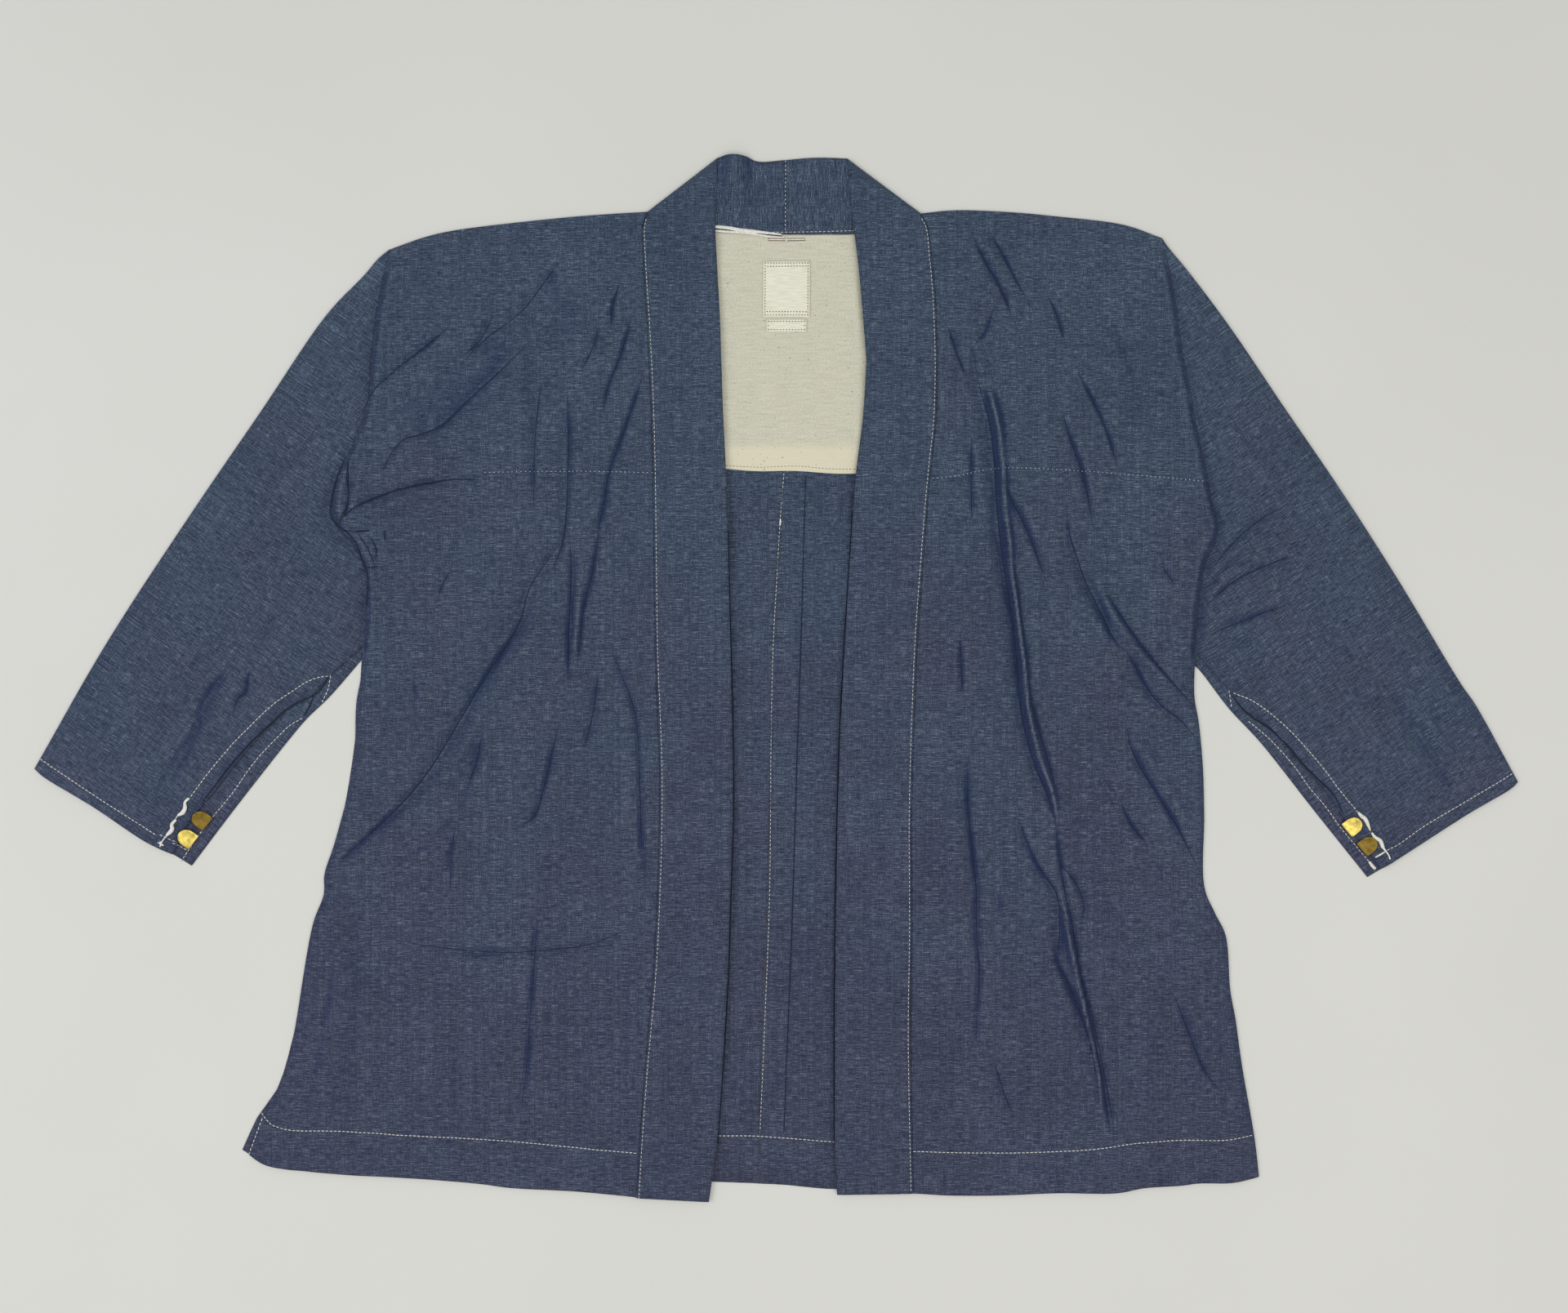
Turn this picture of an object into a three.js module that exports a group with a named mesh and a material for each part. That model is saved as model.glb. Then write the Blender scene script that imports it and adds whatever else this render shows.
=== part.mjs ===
// Open jacket with a band collar and three-quarter sleeves, lying on its back with the front up.
// Millimetres. The outline's middle is the origin, +Y runs to the neck and +Z is up from the table.
import * as THREE from "three";

// Cloth, and how far apart its pieces are.
const CLOTH = 1.1;
const BAND = 2.0;
const LABEL = 1.0;
const SEAM_GAP = 0.3;
const CORNER_EASE = 1;
const FRONT_LEVEL = CLOTH + SEAM_GAP;
const LINING_LEVEL = CLOTH + SEAM_GAP;
const LABEL_LEVEL = LINING_LEVEL + CLOTH + SEAM_GAP;
const NECK_LEVEL = LABEL_LEVEL;

// Cells of each piece's grid.
const ARMHOLE_CELLS = 17;
const BACK_ARMHOLE_CELLS = 6;
const SIDE_CELLS = 20;
const BACK_SIDE_CELLS = 8;
const BODY_COLUMNS = 13;
const SLEEVE_ROWS = 16;
const BAND_COLUMNS = 4;
const NECK_CELLS = 6;
const FOLD_CELLS = 3;

// How the top layer settles on the one under it, and stands a little higher where it turns over a fold.
const LOFT = 2.2;
const FOLD_RISE = 0.6;
const SIDE_SETTLE = 26;
const SHOULDER_SETTLE = 30;
const HEM_SETTLE = 24;

// Brass claws.
const CLAW_WIDTH = 11.4;
const CLAW_LENGTH = 12.2;
const CLAW_THICK = 0.8;
const CLAW_TILT = 0.235;

// One side of the jacket: outlines as [x, y] from the neck or shoulder outwards and down.
const LEFT = {
  out: -1,
  neckPoint: [-91.3, 331.2],
  mitreTop: [-42, 368.9],
  shoulder: [[-274.3, 304.5], [-249.7, 313.2], [-230, 317.8], [-151, 327.1], [-119, 329.6], [-91.3, 331.2]],
  armhole: [
    [-274.3, 304.5], [-279, 282], [-284, 255], [-287, 228], [-290, 196], [-301.5, 164], [-311.8, 143],
    [-315.4, 122], [-310.6, 108], [-299, 95], [-292.4, 80], [-290.6, 53], [-292.6, 23],
  ],
  backArmhole: [[-274.3, 304.5], [-284, 255], [-289, 196], [-293, 110], [-293, 53], [-294.3, 13.3]],
  side: [
    [-292.6, 23], [-298, -17], [-299, -46], [-304.5, -81], [-314, -119], [-320.5, -150], [-328.6, -174],
    [-341, -246], [-355, -293], [-367, -311], [-375, -336],
  ],
  backSide: [
    [-294.3, 13.3], [-297, -26], [-304.5, -81], [-320.5, -150], [-328.6, -174], [-341, -246],
    [-355, -293], [-366.8, -308.6], [-379, -334.5],
  ],
  hem: [
    [-375, -336], [-361.6, -345], [-328, -349.7], [-276, -353.2], [-207, -358.4], [-141, -363.7],
    [-98.5, -367.7],
  ],
  backHem: [[-379, -334.5], [-361.6, -344.3], [-276, -351], [-141, -355], [-43, -357.3], [-12.6, -358.4]],
  neckline: [[-91.3, 331.2], [-68, 323.1], [-43.8, 317.8], [-19.4, 316.1], [6.1, 315.5]],
  collarTop: [[-42, 368.9], [-34.5, 371.2], [-22.3, 370.2], [-13, 366.8], [6.1, 367.9]],
  centre: [[6.1, 315.5], [4.9, 146], [-2.6, 23], [-4.1, -97], [-8.4, -214], [-12.6, -358.4]],
  // Height along the front, the band's sewn edge and its free edge.
  band: [
    [320, -94.8, -43.4], [253, -91.3, -39.8], [192, -88.4, -37.9], [105, -86.7, -34.3], [19, -85.5, -32.3],
    [-57, -82.6, -30.7], [-98, -82.4, -30.7], [-151, -83.8, -32.4], [-208, -86.7, -34.2],
    [-281, -93.1, -38.3], [-330, -96.6, -42], [-368, -98.9, -47.8],
  ],
  bandEnd: [-368.2, -371],
  sleeveFold: [
    [-274.3, 304.5], [-281.6, 298.7], [-292, 286.5], [-318, 259.3], [-419, 111.4], [-476, 23.8],
    [-526.3, -63.8],
  ],
  slit: [
    [-292.6, 23], [-317, 1.7], [-329, -11.6], [-347, -22.6], [-367, -41.5], [-385, -62.6],
    [-399, -80.3], [-409, -92.5], [-419, -106], [-428.3, -124.7],
  ],
  underarm: [
    [-294.3, 13.3], [-317.5, -13.3], [-333.2, -28.4], [-346, -43.5], [-382.5, -89.9],
    [-415, -132.8],
  ],
  cuff: [[-526.3, -63.8], [-520.5, -69], [-485.2, -90.5], [-446.9, -116], [-428.3, -124.7]],
  backCuff: [
    [-526.3, -63.8], [-520.5, -69], [-485.2, -90.5], [-446.9, -116], [-428.3, -124.7],
    [-415, -132.8],
  ],
  // Middle of each claw's straight edge, its level, and the way its round end points in degrees.
  claws: [[-403.6, -103.1, 1.45, 142], [-413.5, -116, 1.45, 142]],
};

const RIGHT = {
  out: 1,
  neckPoint: [102.4, 330],
  mitreTop: [50.2, 368.9],
  shoulder: [[273.5, 312.6], [246.8, 321.9], [195.8, 328.3], [171.4, 330.6], [127.3, 332.3], [102.4, 330]],
  armhole: [
    [273.5, 312.6], [280, 285], [284, 262], [288, 232], [293, 208], [297, 184], [304, 154], [308.4, 130],
    [313.6, 110], [311.5, 98], [305, 84], [300.5, 57], [297.2, 18.6],
  ],
  backArmhole: [[273.5, 312.6], [284, 262], [292, 200], [297, 110], [297, 53], [295.5, 10.4]],
  side: [
    [297.2, 18.6], [296.7, -13], [302.5, -60], [303.6, -96], [304.5, -148], [317.5, -182], [322.2, -222],
    [330.3, -274], [339.6, -328], [342.5, -353.6],
  ],
  backSide: [
    [295.5, 10.4], [296.7, -13], [302.5, -60], [303.6, -96], [304.5, -148], [317.5, -182], [322.2, -222],
    [330.3, -274], [339.6, -328], [342.4, -352.6],
  ],
  hem: [[342.5, -353.6], [322.8, -357.7], [287.4, -359.6], [242, -364.8], [154, -366.6], [97, -365.2]],
  backHem: [[342.4, -352.6], [287, -356], [154, -360], [42, -362.5], [3.8, -359.2], [-12.6, -358.4]],
  neckline: [[102.4, 330], [80.9, 321.3], [57.7, 316.1], [31.6, 315.5], [6.1, 315.5]],
  collarTop: [[50.2, 368.9], [42, 369.4], [25.2, 369.5], [6.1, 367.9]],
  centre: [[6.1, 315.5], [4.9, 146], [-2.6, 23], [-4.1, -97], [-8.4, -214], [-12.6, -358.4]],
  band: [
    [320, 107.6, 54.6], [272, 112.4, 60.2], [226, 114.1, 63.9], [181, 112.8, 61.2], [146, 109, 56.5],
    [88, 104.2, 52.5], [21, 99.5, 48.4], [-40, 97.2, 45.2], [-98, 95.7, 43.5], [-176, 96, 42],
    [-253, 95, 41.5], [-330, 96.3, 41.5], [-365, 97.1, 43.2],
  ],
  bandEnd: [-365, -365.8],
  sleeveFold: [
    [273.5, 312.6], [277.5, 306.8], [291.4, 290], [321, 250.6], [399.9, 134.6], [485.7, -3.5],
    [496.2, -18.6], [526.3, -73.1],
  ],
  slit: [
    [297.2, 18.6], [310.6, 3.5], [324.5, -11.6], [332, -22], [343.1, -28.4], [367.4, -53.9],
    [389.9, -79.5], [403.2, -99.8], [414.4, -115.4], [428.9, -135.1],
  ],
  underarm: [[295.5, 10.4], [300.1, 6.4], [321.6, -21.5], [343.6, -45.2], [419.6, -140.9]],
  cuff: [[526.3, -73.1], [522.3, -77.1], [491, -95.7], [435.9, -131.1], [428.9, -135.1]],
  backCuff: [[526.3, -73.1], [522.3, -77.1], [491, -95.7], [435.9, -131.1], [419.6, -140.9]],
  claws: [[404.8, -107.5, 2.3, 40], [415.7, -121, 2.5, 40]],
};

// Folds of the top layer: a line from x0, y0 to x1, y1 bowed to its left by bow, its height and half width.
const FOLDS = [
  // Left front.
  [-150, 109, -316, -135, 14, -2.4, 13],
  [-132, 98, -294, -150, 14, 1.8, 16],
  [-147, 100, -149, -8, 0, 2.6, 9],
  [-99, -10, -96, -100, 0, -1.6, 9],
  [-151, 238, -281, 150, -22, 2.4, 22],
  [-240, 244, -288, 190, 0, -1.6, 12],
  [-109, 280, -126, 96, 0, -1.4, 15],
  [-172, -200, -187, -330, 0, 2.2, 12],
  [-299, -196, -322, -318, -4, 2.6, 17],
  [-231, -188, -132, -188, 0, -1.5, 15],
  [-215, -110, -228, -160, 0, 1.4, 13],
  // Right front.
  [150, 264, 237, -323, -15, 3.4, 10],
  [141, 250, 226, -315, -15, -1.6, 12],
  [206, 119, 289, -35, -3, -2, 11],
  [214, 140, 297, -14, -3, 1.6, 12],
  [146, 326, 168, 250, 0, 1.8, 8],
  [201, 204, 246, 120, 3, 1.8, 12],
  [250, -28, 302, -140, 0, 2, 14],
  [135, -50, 145, -201, 0, -1.6, 10],
  [141, -188, 156, -300, 0, 1.6, 11],
  [176, -114, 218, -173, 0, -1.4, 12],
  [288, -243, 315, -315, 0, 1.8, 12],
  // Left sleeve.
  [-392, 0, -446, -100, -5, -2, 11],
  [-376, 4, -428, -90, -5, 1.6, 13],
  [-340, 190, -470, -40, 10, 1.8, 24],
  [-320, 90, -372, 20, 0, -1.4, 16],
  // Right sleeve.
  [430, 0, 482, -80, 0, -2, 12],
  [446, 6, 492, -66, 0, 1.6, 12],
  [352, 190, 450, 20, -8, 1.8, 24],
  [303, 60, 366, 88, 0, 1.5, 9],
  [304, 28, 362, 52, 0, 1.4, 10],
  [318, 250, 338, 196, 0, -1.4, 12],
];

// The back of the neck stands in a soft roll beside the left mitre.
const NECK_ROLL = { x: -29, low: 322, rise: 4.6, halfWidth: 7.5 };

const clamp01 = (t) => Math.min(1, Math.max(0, t));
const lerp = (a, b, t) => a + (b - a) * t;
const mix = (a, b, t) => [lerp(a[0], b[0], t), lerp(a[1], b[1], t)];

function smoothstep(t) {
  const c = clamp01(t);
  return c * c * (3 - 2 * c);
}

// Straight line through a table's rows by its first column, which runs up or down.
function along(rows, at, column) {
  const down = rows[0][0] > rows[rows.length - 1][0];
  const passed = (r) => (down ? r[0] <= at : r[0] >= at);
  const next = rows.findIndex(passed);
  if (next === 0) return rows[0][column];
  if (next < 0) return rows[rows.length - 1][column];
  const [a, b] = [rows[next - 1], rows[next]];
  return lerp(a[column], b[column], (at - a[0]) / (b[0] - a[0]));
}

// Points evenly spaced on the smooth curve through a table of [x, y].
function curve(rows, cells) {
  const points = rows.map(([x, y]) => new THREE.Vector3(x, y, 0));
  const path = new THREE.CatmullRomCurve3(points, false, "centripetal");
  return path.getSpacedPoints(cells).map((p) => [p.x, p.y]);
}

function shift(points, dx, dy) {
  return points.map(([x, y]) => [x + dx, y + dy]);
}

// Moves a row of points sideways by a distance, to the right of the way it runs.
function offset(points, distance) {
  return points.map((p, i) => {
    const a = points[Math.max(0, i - 1)];
    const b = points[Math.min(points.length - 1, i + 1)];
    const length = Math.hypot(b[0] - a[0], b[1] - a[1]);
    return [p[0] + (distance * (b[1] - a[1])) / length, p[1] - (distance * (b[0] - a[0])) / length];
  });
}

// Fills four borders that meet at their ends: start and end run across, near and far run along.
function fill(start, end, near, far) {
  const rows = near.length - 1;
  const columns = start.length - 1;
  return near.map((_, i) =>
    start.map((_, j) => {
      const [v, u] = [i / rows, j / columns];
      return [0, 1].map((k) => {
        const across = lerp(near[i][k], far[i][k], u);
        const down = lerp(start[j][k], end[j][k], v);
        const top = lerp(start[0][k], start[columns][k], u);
        const bottom = lerp(end[0][k], end[columns][k], u);
        return across + down - lerp(top, bottom, v);
      });
    }),
  );
}

function foldHeight(x, y) {
  let sum = 0;
  for (const [x0, y0, x1, y1, bow, rise, halfWidth] of FOLDS) {
    const length = Math.hypot(x1 - x0, y1 - y0);
    const [ux, uy] = [(x1 - x0) / length, (y1 - y0) / length];
    const s = ((x - x0) * ux + (y - y0) * uy) / length;
    if (s <= 0 || s >= 1) continue;
    const side = (y - y0) * ux - (x - x0) * uy;
    const d = (side - bow * 4 * s * (1 - s)) / halfWidth;
    const ends = smoothstep(s / 0.22) * smoothstep((1 - s) / 0.22);
    sum += rise * Math.exp(-d * d) * ends;
  }
  return sum;
}

const nearest = (points, x, y) => Math.min(...points.map((p) => Math.hypot(p[0] - x, p[1] - y)));

// Height of the front's folds above the back, flat at the side, the shoulder and the armhole.
function frontLift(side, x, y) {
  const border = [...curve(side.armhole, 40), ...curve(side.side, 40)];
  const sides = smoothstep(nearest(border, x, y) / SIDE_SETTLE);
  const shoulder = smoothstep((side.neckPoint[1] - 4 - y) / SHOULDER_SETTLE);
  const hem = lerp(0.25, 1, smoothstep((y + 366) / HEM_SETTLE));
  return Math.max(0, LOFT + foldHeight(x, y)) * sides * shoulder * hem;
}

// Height of the sleeve's top layer, flat at its fold, its slit and the armhole.
function sleeveLift(x, y, u, v) {
  const across = smoothstep(u / 0.22) * smoothstep((1 - u) / 0.2);
  const ends = smoothstep(v / 0.16) * lerp(0.3, 1, smoothstep((1 - v) / 0.16));
  return Math.max(0, LOFT + foldHeight(x, y)) * across * ends;
}

// Half turn of a fold between two levels, in from an edge point towards the next point of each layer.
function foldTurn(edge, below, above, low, high, wall) {
  const radius = (high - low) / 2;
  const towards = (p) => {
    const length = Math.hypot(p[0] - edge[0], p[1] - edge[1]);
    return [(p[0] - edge[0]) / length, (p[1] - edge[1]) / length];
  };
  const [under, over] = [towards(below), towards(above)];
  return Array.from({ length: FOLD_CELLS + 1 }, (_, k) => {
    const t = k / FOLD_CELLS;
    const turn = Math.PI * (t - 0.5);
    const reach = radius + wall / 2 - radius * Math.cos(turn);
    const [dx, dy] = mix(under, over, t);
    return [edge[0] + dx * reach, edge[1] + dy * reach, (low + high) / 2 + radius * Math.sin(turn)];
  });
}

const transpose = (grid) => grid[0].map((_, j) => grid.map((row) => row[j]));

// Closes a grid of middle points into one slab of even wall, faces outwards.
function slab(name, grid, wall, material) {
  const [rows, columns] = [grid.length, grid[0].length];
  const at = (i, j) => new THREE.Vector3(...grid[clampIndex(i, rows)][clampIndex(j, columns)]);
  const positions = [];
  for (const side of [0.5, -0.5])
    for (let i = 0; i < rows; i++)
      for (let j = 0; j < columns; j++) {
        const down = at(i + 1, j).sub(at(i - 1, j));
        const across = at(i, j + 1).sub(at(i, j - 1));
        const normal = across.cross(down).normalize();
        positions.push(...at(i, j).addScaledVector(normal, side * wall).toArray());
      }
  const faces = [];
  const layer = rows * columns;
  const quad = (a, b, c, d) => faces.push(a, b, c, a, c, d);
  for (let i = 0; i + 1 < rows; i++)
    for (let j = 0; j + 1 < columns; j++) {
      const k = i * columns + j;
      quad(k, k + columns, k + columns + 1, k + 1);
      quad(layer + k, layer + k + 1, layer + k + columns + 1, layer + k + columns);
    }
  const rim = [];
  for (let j = 0; j + 1 < columns; j++) rim.push(j);
  for (let i = 0; i + 1 < rows; i++) rim.push(i * columns + columns - 1);
  for (let j = columns - 1; j > 0; j--) rim.push((rows - 1) * columns + j);
  for (let i = rows - 1; i > 0; i--) rim.push(i * columns);
  rim.forEach((a, n) => {
    const b = rim[(n + 1) % rim.length];
    quad(a, b, layer + b, layer + a);
  });
  const geometry = new THREE.BufferGeometry();
  geometry.setAttribute("position", new THREE.Float32BufferAttribute(positions, 3));
  geometry.setIndex(volume(positions, faces) < 0 ? faces.reverse() : faces);
  geometry.computeVertexNormals();
  const mesh = new THREE.Mesh(geometry, material);
  mesh.name = name;
  return mesh;
}

function clampIndex(i, count) {
  return Math.min(count - 1, Math.max(0, i));
}

function volume(positions, faces) {
  const p = (k) => new THREE.Vector3(...positions.slice(3 * k, 3 * k + 3));
  let sum = 0;
  for (let k = 0; k < faces.length; k += 3)
    sum += p(faces[k]).dot(p(faces[k + 1]).cross(p(faces[k + 2]))) / 6;
  return sum;
}

// Where the band's sections cross the front, from the neck to the hem: its sewn and its free edge.
function bandStations(side) {
  const count = ARMHOLE_CELLS + SIDE_CELLS;
  return Array.from({ length: count }, (_, i) => {
    const y = lerp(side.neckPoint[1], side.bandEnd[0], (i + 1) / count);
    const last = (side.bandEnd[1] - side.bandEnd[0]) * smoothstep((i + 4 - count) / 3);
    return { sewn: [along(side.band, y, 1), y], free: [along(side.band, y, 2), y + last] };
  });
}

// Half the body: the back from its hem to the shoulder, a fold, and the front down to its hem.
function bodyHalf(name, side, material) {
  const half = SEAM_GAP * 0.8;
  const inner = (points) => shift(points, side.out * half, -half);
  const [low, high] = [CLOTH / 2, FRONT_LEVEL + CLOTH / 2];
  const shoulder = curve(side.shoulder, BODY_COLUMNS);
  shoulder[BODY_COLUMNS] = shift([side.neckPoint], side.out * CORNER_EASE, -CORNER_EASE)[0];

  const frontRows = ARMHOLE_CELLS + SIDE_CELLS;
  const frontSide = [...curve(side.armhole, ARMHOLE_CELLS), ...curve(side.side, SIDE_CELLS).slice(1)];
  const frontSeam = [shoulder[BODY_COLUMNS], ...inner(bandStations(side).map((s) => s.sewn))];
  const frontHem = curve(side.hem, BODY_COLUMNS);
  frontHem[BODY_COLUMNS] = frontSeam[frontRows];
  const front = fill(shoulder, frontHem, frontSide, frontSeam);

  const backRows = BACK_ARMHOLE_CELLS + BACK_SIDE_CELLS;
  const lowSide = curve(side.backSide, BACK_SIDE_CELLS).slice(1);
  const backSide = [...curve(side.backArmhole, BACK_ARMHOLE_CELLS), ...lowSide];
  const centre = curve(side.centre, backRows - NECK_CELLS).slice(1);
  const backInner = inner([...curve(side.neckline, NECK_CELLS), ...centre]);
  backInner[0] = shoulder[BODY_COLUMNS];
  const backHem = curve(side.backHem, BODY_COLUMNS);
  backHem[BODY_COLUMNS] = backInner[backRows];
  const back = fill(shoulder, backHem, backSide, backInner);

  const rows = [];
  for (let i = backRows; i >= 1; i--) rows.push(back[i].map(([x, y]) => [x, y, low]));
  const turn = (edge, j) => foldTurn(edge, back[1][j], front[1][j], low, high + FOLD_RISE, CLOTH);
  rows.push(...transpose(shoulder.map(turn)));
  for (let i = 1; i <= frontRows; i++) {
    const rise = high + FOLD_RISE * (1 - smoothstep(i / frontRows / 0.06));
    rows.push(front[i].map(([x, y]) => [x, y, rise + frontLift(side, x, y)]));
  }
  return slab(name, rows, CLOTH, material);
}

// Level of the band's underside: over the lining at the neck, on the back lower down.
function bandLevel(y) {
  return lerp(FRONT_LEVEL, NECK_LEVEL, smoothstep((y - 100) / 40));
}

// Half the collar band: up the front edge, folded over on the mitre and across to the centre back.
function collarHalf(name, side, material) {
  const gap = SEAM_GAP * 0.35;
  const rows = [];
  const section = (a, b, height) =>
    rows.push(
      Array.from({ length: BAND_COLUMNS + 1 }, (_, j) => {
        const [x, y] = mix(a, b, j / BAND_COLUMNS);
        return [x, y, height(x, y)];
      }),
    );
  const upper = (x, y) => bandLevel(y) + BAND / 2 + frontLift(side, x, y);
  const inwards = ([x, y]) => [x - side.out * gap, y];
  const stations = bandStations(side).reverse();
  stations.forEach(({ sewn, free }) => section(inwards(sewn), free, upper));
  const neck = [side.neckPoint[0] - side.out * gap, side.neckPoint[1] + gap];
  const top = stations[stations.length - 1];
  section(mix(inwards(top.sewn), neck, 0.5), mix(top.free, side.mitreTop, 0.5), upper);

  const lower = (x, y) => {
    const d = (x - NECK_ROLL.x) / NECK_ROLL.halfWidth;
    return BAND / 2 + NECK_ROLL.rise * Math.exp(-d * d) * smoothstep((y - NECK_ROLL.low) / 22);
  };
  const halfway = (p, i, all) => (i ? [mix(all[i - 1], p, 0.5), p] : [p]);
  const sewnEdge = curve(side.neckline, NECK_CELLS).flatMap(halfway);
  const freeEdge = curve(side.collarTop, 2 * NECK_CELLS);
  const [low, high] = [BAND / 2, NECK_LEVEL + BAND / 2];
  const before = rows[rows.length - 1];
  const after = [sewnEdge[1][0], sewnEdge[1][1] + gap];
  const turns = before.map((above, j) => {
    const t = j / BAND_COLUMNS;
    const below = mix(after, freeEdge[1], t);
    return foldTurn(mix(neck, side.mitreTop, t), below, above, low, high, BAND);
  });
  rows.push(...transpose(turns).reverse());
  for (let i = 1; i <= 2 * NECK_CELLS; i++) {
    const stop = i === 2 * NECK_CELLS ? side.out * SEAM_GAP * 0.5 : 0;
    section([sewnEdge[i][0] + stop, sewnEdge[i][1] + gap], [freeEdge[i][0] + stop, freeEdge[i][1]], lower);
  }
  return slab(name, rows, BAND, material);
}

// A sleeve: one piece from the flap of its slit under the arm, round the fold and back to the slit's edge.
function sleeve(name, side, material) {
  const [low, high] = [CLOTH / 2, FRONT_LEVEL + CLOTH / 2];
  const away = SEAM_GAP * 1.6 * side.out;
  const armhole = offset(curve(side.armhole, ARMHOLE_CELLS), -away);
  armhole[0] = shift([side.armhole[0]], side.out * 1.5 * CORNER_EASE, -CORNER_EASE)[0];
  const backArmhole = offset(curve(side.backArmhole, BACK_ARMHOLE_CELLS), -away);
  backArmhole[0] = armhole[0];
  const fold = curve(side.sleeveFold, SLEEVE_ROWS);
  fold[0] = armhole[0];
  const slit = curve(side.slit, SLEEVE_ROWS);
  slit[0] = armhole[ARMHOLE_CELLS];
  const underarm = curve(side.underarm, SLEEVE_ROWS);
  underarm[0] = backArmhole[BACK_ARMHOLE_CELLS];
  const cuff = curve(side.cuff, ARMHOLE_CELLS);
  const backCuff = curve(side.backCuff, BACK_ARMHOLE_CELLS);
  const topLayer = fill(armhole, cuff, fold, slit);
  const bottomLayer = fill(backArmhole, backCuff, fold, underarm);
  const rows = topLayer.map((points, i) => {
    const v = i / SLEEVE_ROWS;
    const under = bottomLayer[i].slice(1).reverse().map(([x, y]) => [x, y, low]);
    const turn = foldTurn(points[0], bottomLayer[i][1], points[1], low, high + FOLD_RISE, CLOTH);
    const over = points.slice(1).map(([x, y], j) => {
      const u = (j + 1) / ARMHOLE_CELLS;
      const rise = high + FOLD_RISE * (1 - smoothstep(u / 0.2));
      return [x, y, rise + sleeveLift(x, y, u, v)];
    });
    return [...under, ...turn, ...over];
  });
  return slab(name, rows, CLOTH, material);
}

// A flat piece from four corners, at one level.
function flatPiece(name, corners, cells, level, wall, material) {
  const [a, b, c, d] = corners;
  const rows = Array.from({ length: cells[1] + 1 }, (_, i) => {
    const [start, end] = [mix(a, d, i / cells[1]), mix(b, c, i / cells[1])];
    const across = (j) => [...mix(start, end, j / cells[0]), level + wall / 2];
    return Array.from({ length: cells[0] + 1 }, (_, j) => across(j));
  });
  return slab(name, rows, wall, material);
}

// Lining of the back yoke: its top follows the neckline and its sides end under the collar.
function yokeLining(name, material) {
  const [left, right, bottomLeft, bottomRight] = [-60, 78, 149.2, 144.8];
  const columns = 10;
  const rows = 8;
  const neck = [...curve(LEFT.neckline, 16), ...curve(RIGHT.neckline, 16).reverse()];
  const atX = (x) => neck.reduce((best, p) => (Math.abs(p[0] - x) < Math.abs(best[0] - x) ? p : best));
  const grid = Array.from({ length: rows + 1 }, (_, i) =>
    Array.from({ length: columns + 1 }, (_, j) => {
      const x = lerp(left, right, j / columns);
      const top = atX(x)[1] - 3 * SEAM_GAP;
      return [x, lerp(top, lerp(bottomLeft, bottomRight, j / columns), i / rows), LINING_LEVEL + CLOTH / 2];
    }),
  );
  return slab(name, grid, CLOTH, material);
}

// A claw: a D of thin brass, its straight edge sewn to the flap, its round end raised over the slit's edge.
function claw(name, [x, y, level, degrees], material) {
  const half = CLAW_WIDTH / 2;
  const outline = new THREE.Shape();
  outline.moveTo(0, -half + 0.8);
  outline.lineTo(0.8, -half);
  outline.bezierCurveTo(CLAW_LENGTH * 0.75, -half, CLAW_LENGTH, -half * 0.62, CLAW_LENGTH, 0);
  outline.bezierCurveTo(CLAW_LENGTH, half * 0.62, CLAW_LENGTH * 0.75, half, 0.8, half);
  outline.lineTo(0, half - 0.8);
  outline.closePath();
  const solid = { depth: CLAW_THICK, bevelEnabled: false, curveSegments: 8 };
  const geometry = new THREE.ExtrudeGeometry(outline, solid);
  geometry.rotateY(-CLAW_TILT);
  geometry.rotateZ((degrees * Math.PI) / 180);
  geometry.translate(x, y, level);
  const mesh = new THREE.Mesh(geometry, material);
  mesh.name = name;
  return mesh;
}

const chambray = (color) =>
  new THREE.MeshStandardMaterial({ color, roughness: 0.9, side: THREE.DoubleSide });
const cotton = (color) => new THREE.MeshStandardMaterial({ color, roughness: 0.85 });
const brass = () => new THREE.MeshStandardMaterial({ color: "#c5af58", metalness: 1, roughness: 0.35 });

const MAIN_LABEL = [[-9.4, 296.4], [24.1, 296.4], [23.9, 256.4], [-9.6, 256.4]];
const SMALL_LABEL = [[-7, 255.6], [21.5, 255.6], [21.5, 246.1], [-7, 246.1]];

const jacket = new THREE.Group();
jacket.add(
  bodyHalf("body_left", LEFT, chambray("#404b63")),
  bodyHalf("body_right", RIGHT, chambray("#404b63")),
  collarHalf("collar_left", LEFT, chambray("#42505f")),
  collarHalf("collar_right", RIGHT, chambray("#42505f")),
  sleeve("sleeve_left", LEFT, chambray("#454e62")),
  sleeve("sleeve_right", RIGHT, chambray("#454e62")),
  yokeLining("yoke_lining", cotton("#c8c7b4")),
  flatPiece("main_label", MAIN_LABEL, [2, 2], LABEL_LEVEL, LABEL, cotton("#e0ddcd")),
  flatPiece("small_label", SMALL_LABEL, [2, 1], LABEL_LEVEL, LABEL, cotton("#e0ddcd")),
);
LEFT.claws.forEach((row, i) => jacket.add(claw("kohaze_left_" + (i + 1), row, brass())));
RIGHT.claws.forEach((row, i) => jacket.add(claw("kohaze_right_" + (i + 1), row, brass())));

export default jacket;
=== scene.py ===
"""An open work jacket of washed chambray with a band collar, laid flat on its back."""

import logging
import math
from dataclasses import dataclass
from enum import Enum
from typing import NamedTuple, Sequence

import bpy
import numpy as np
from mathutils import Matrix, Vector
from mathutils.bvhtree import BVHTree


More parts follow.
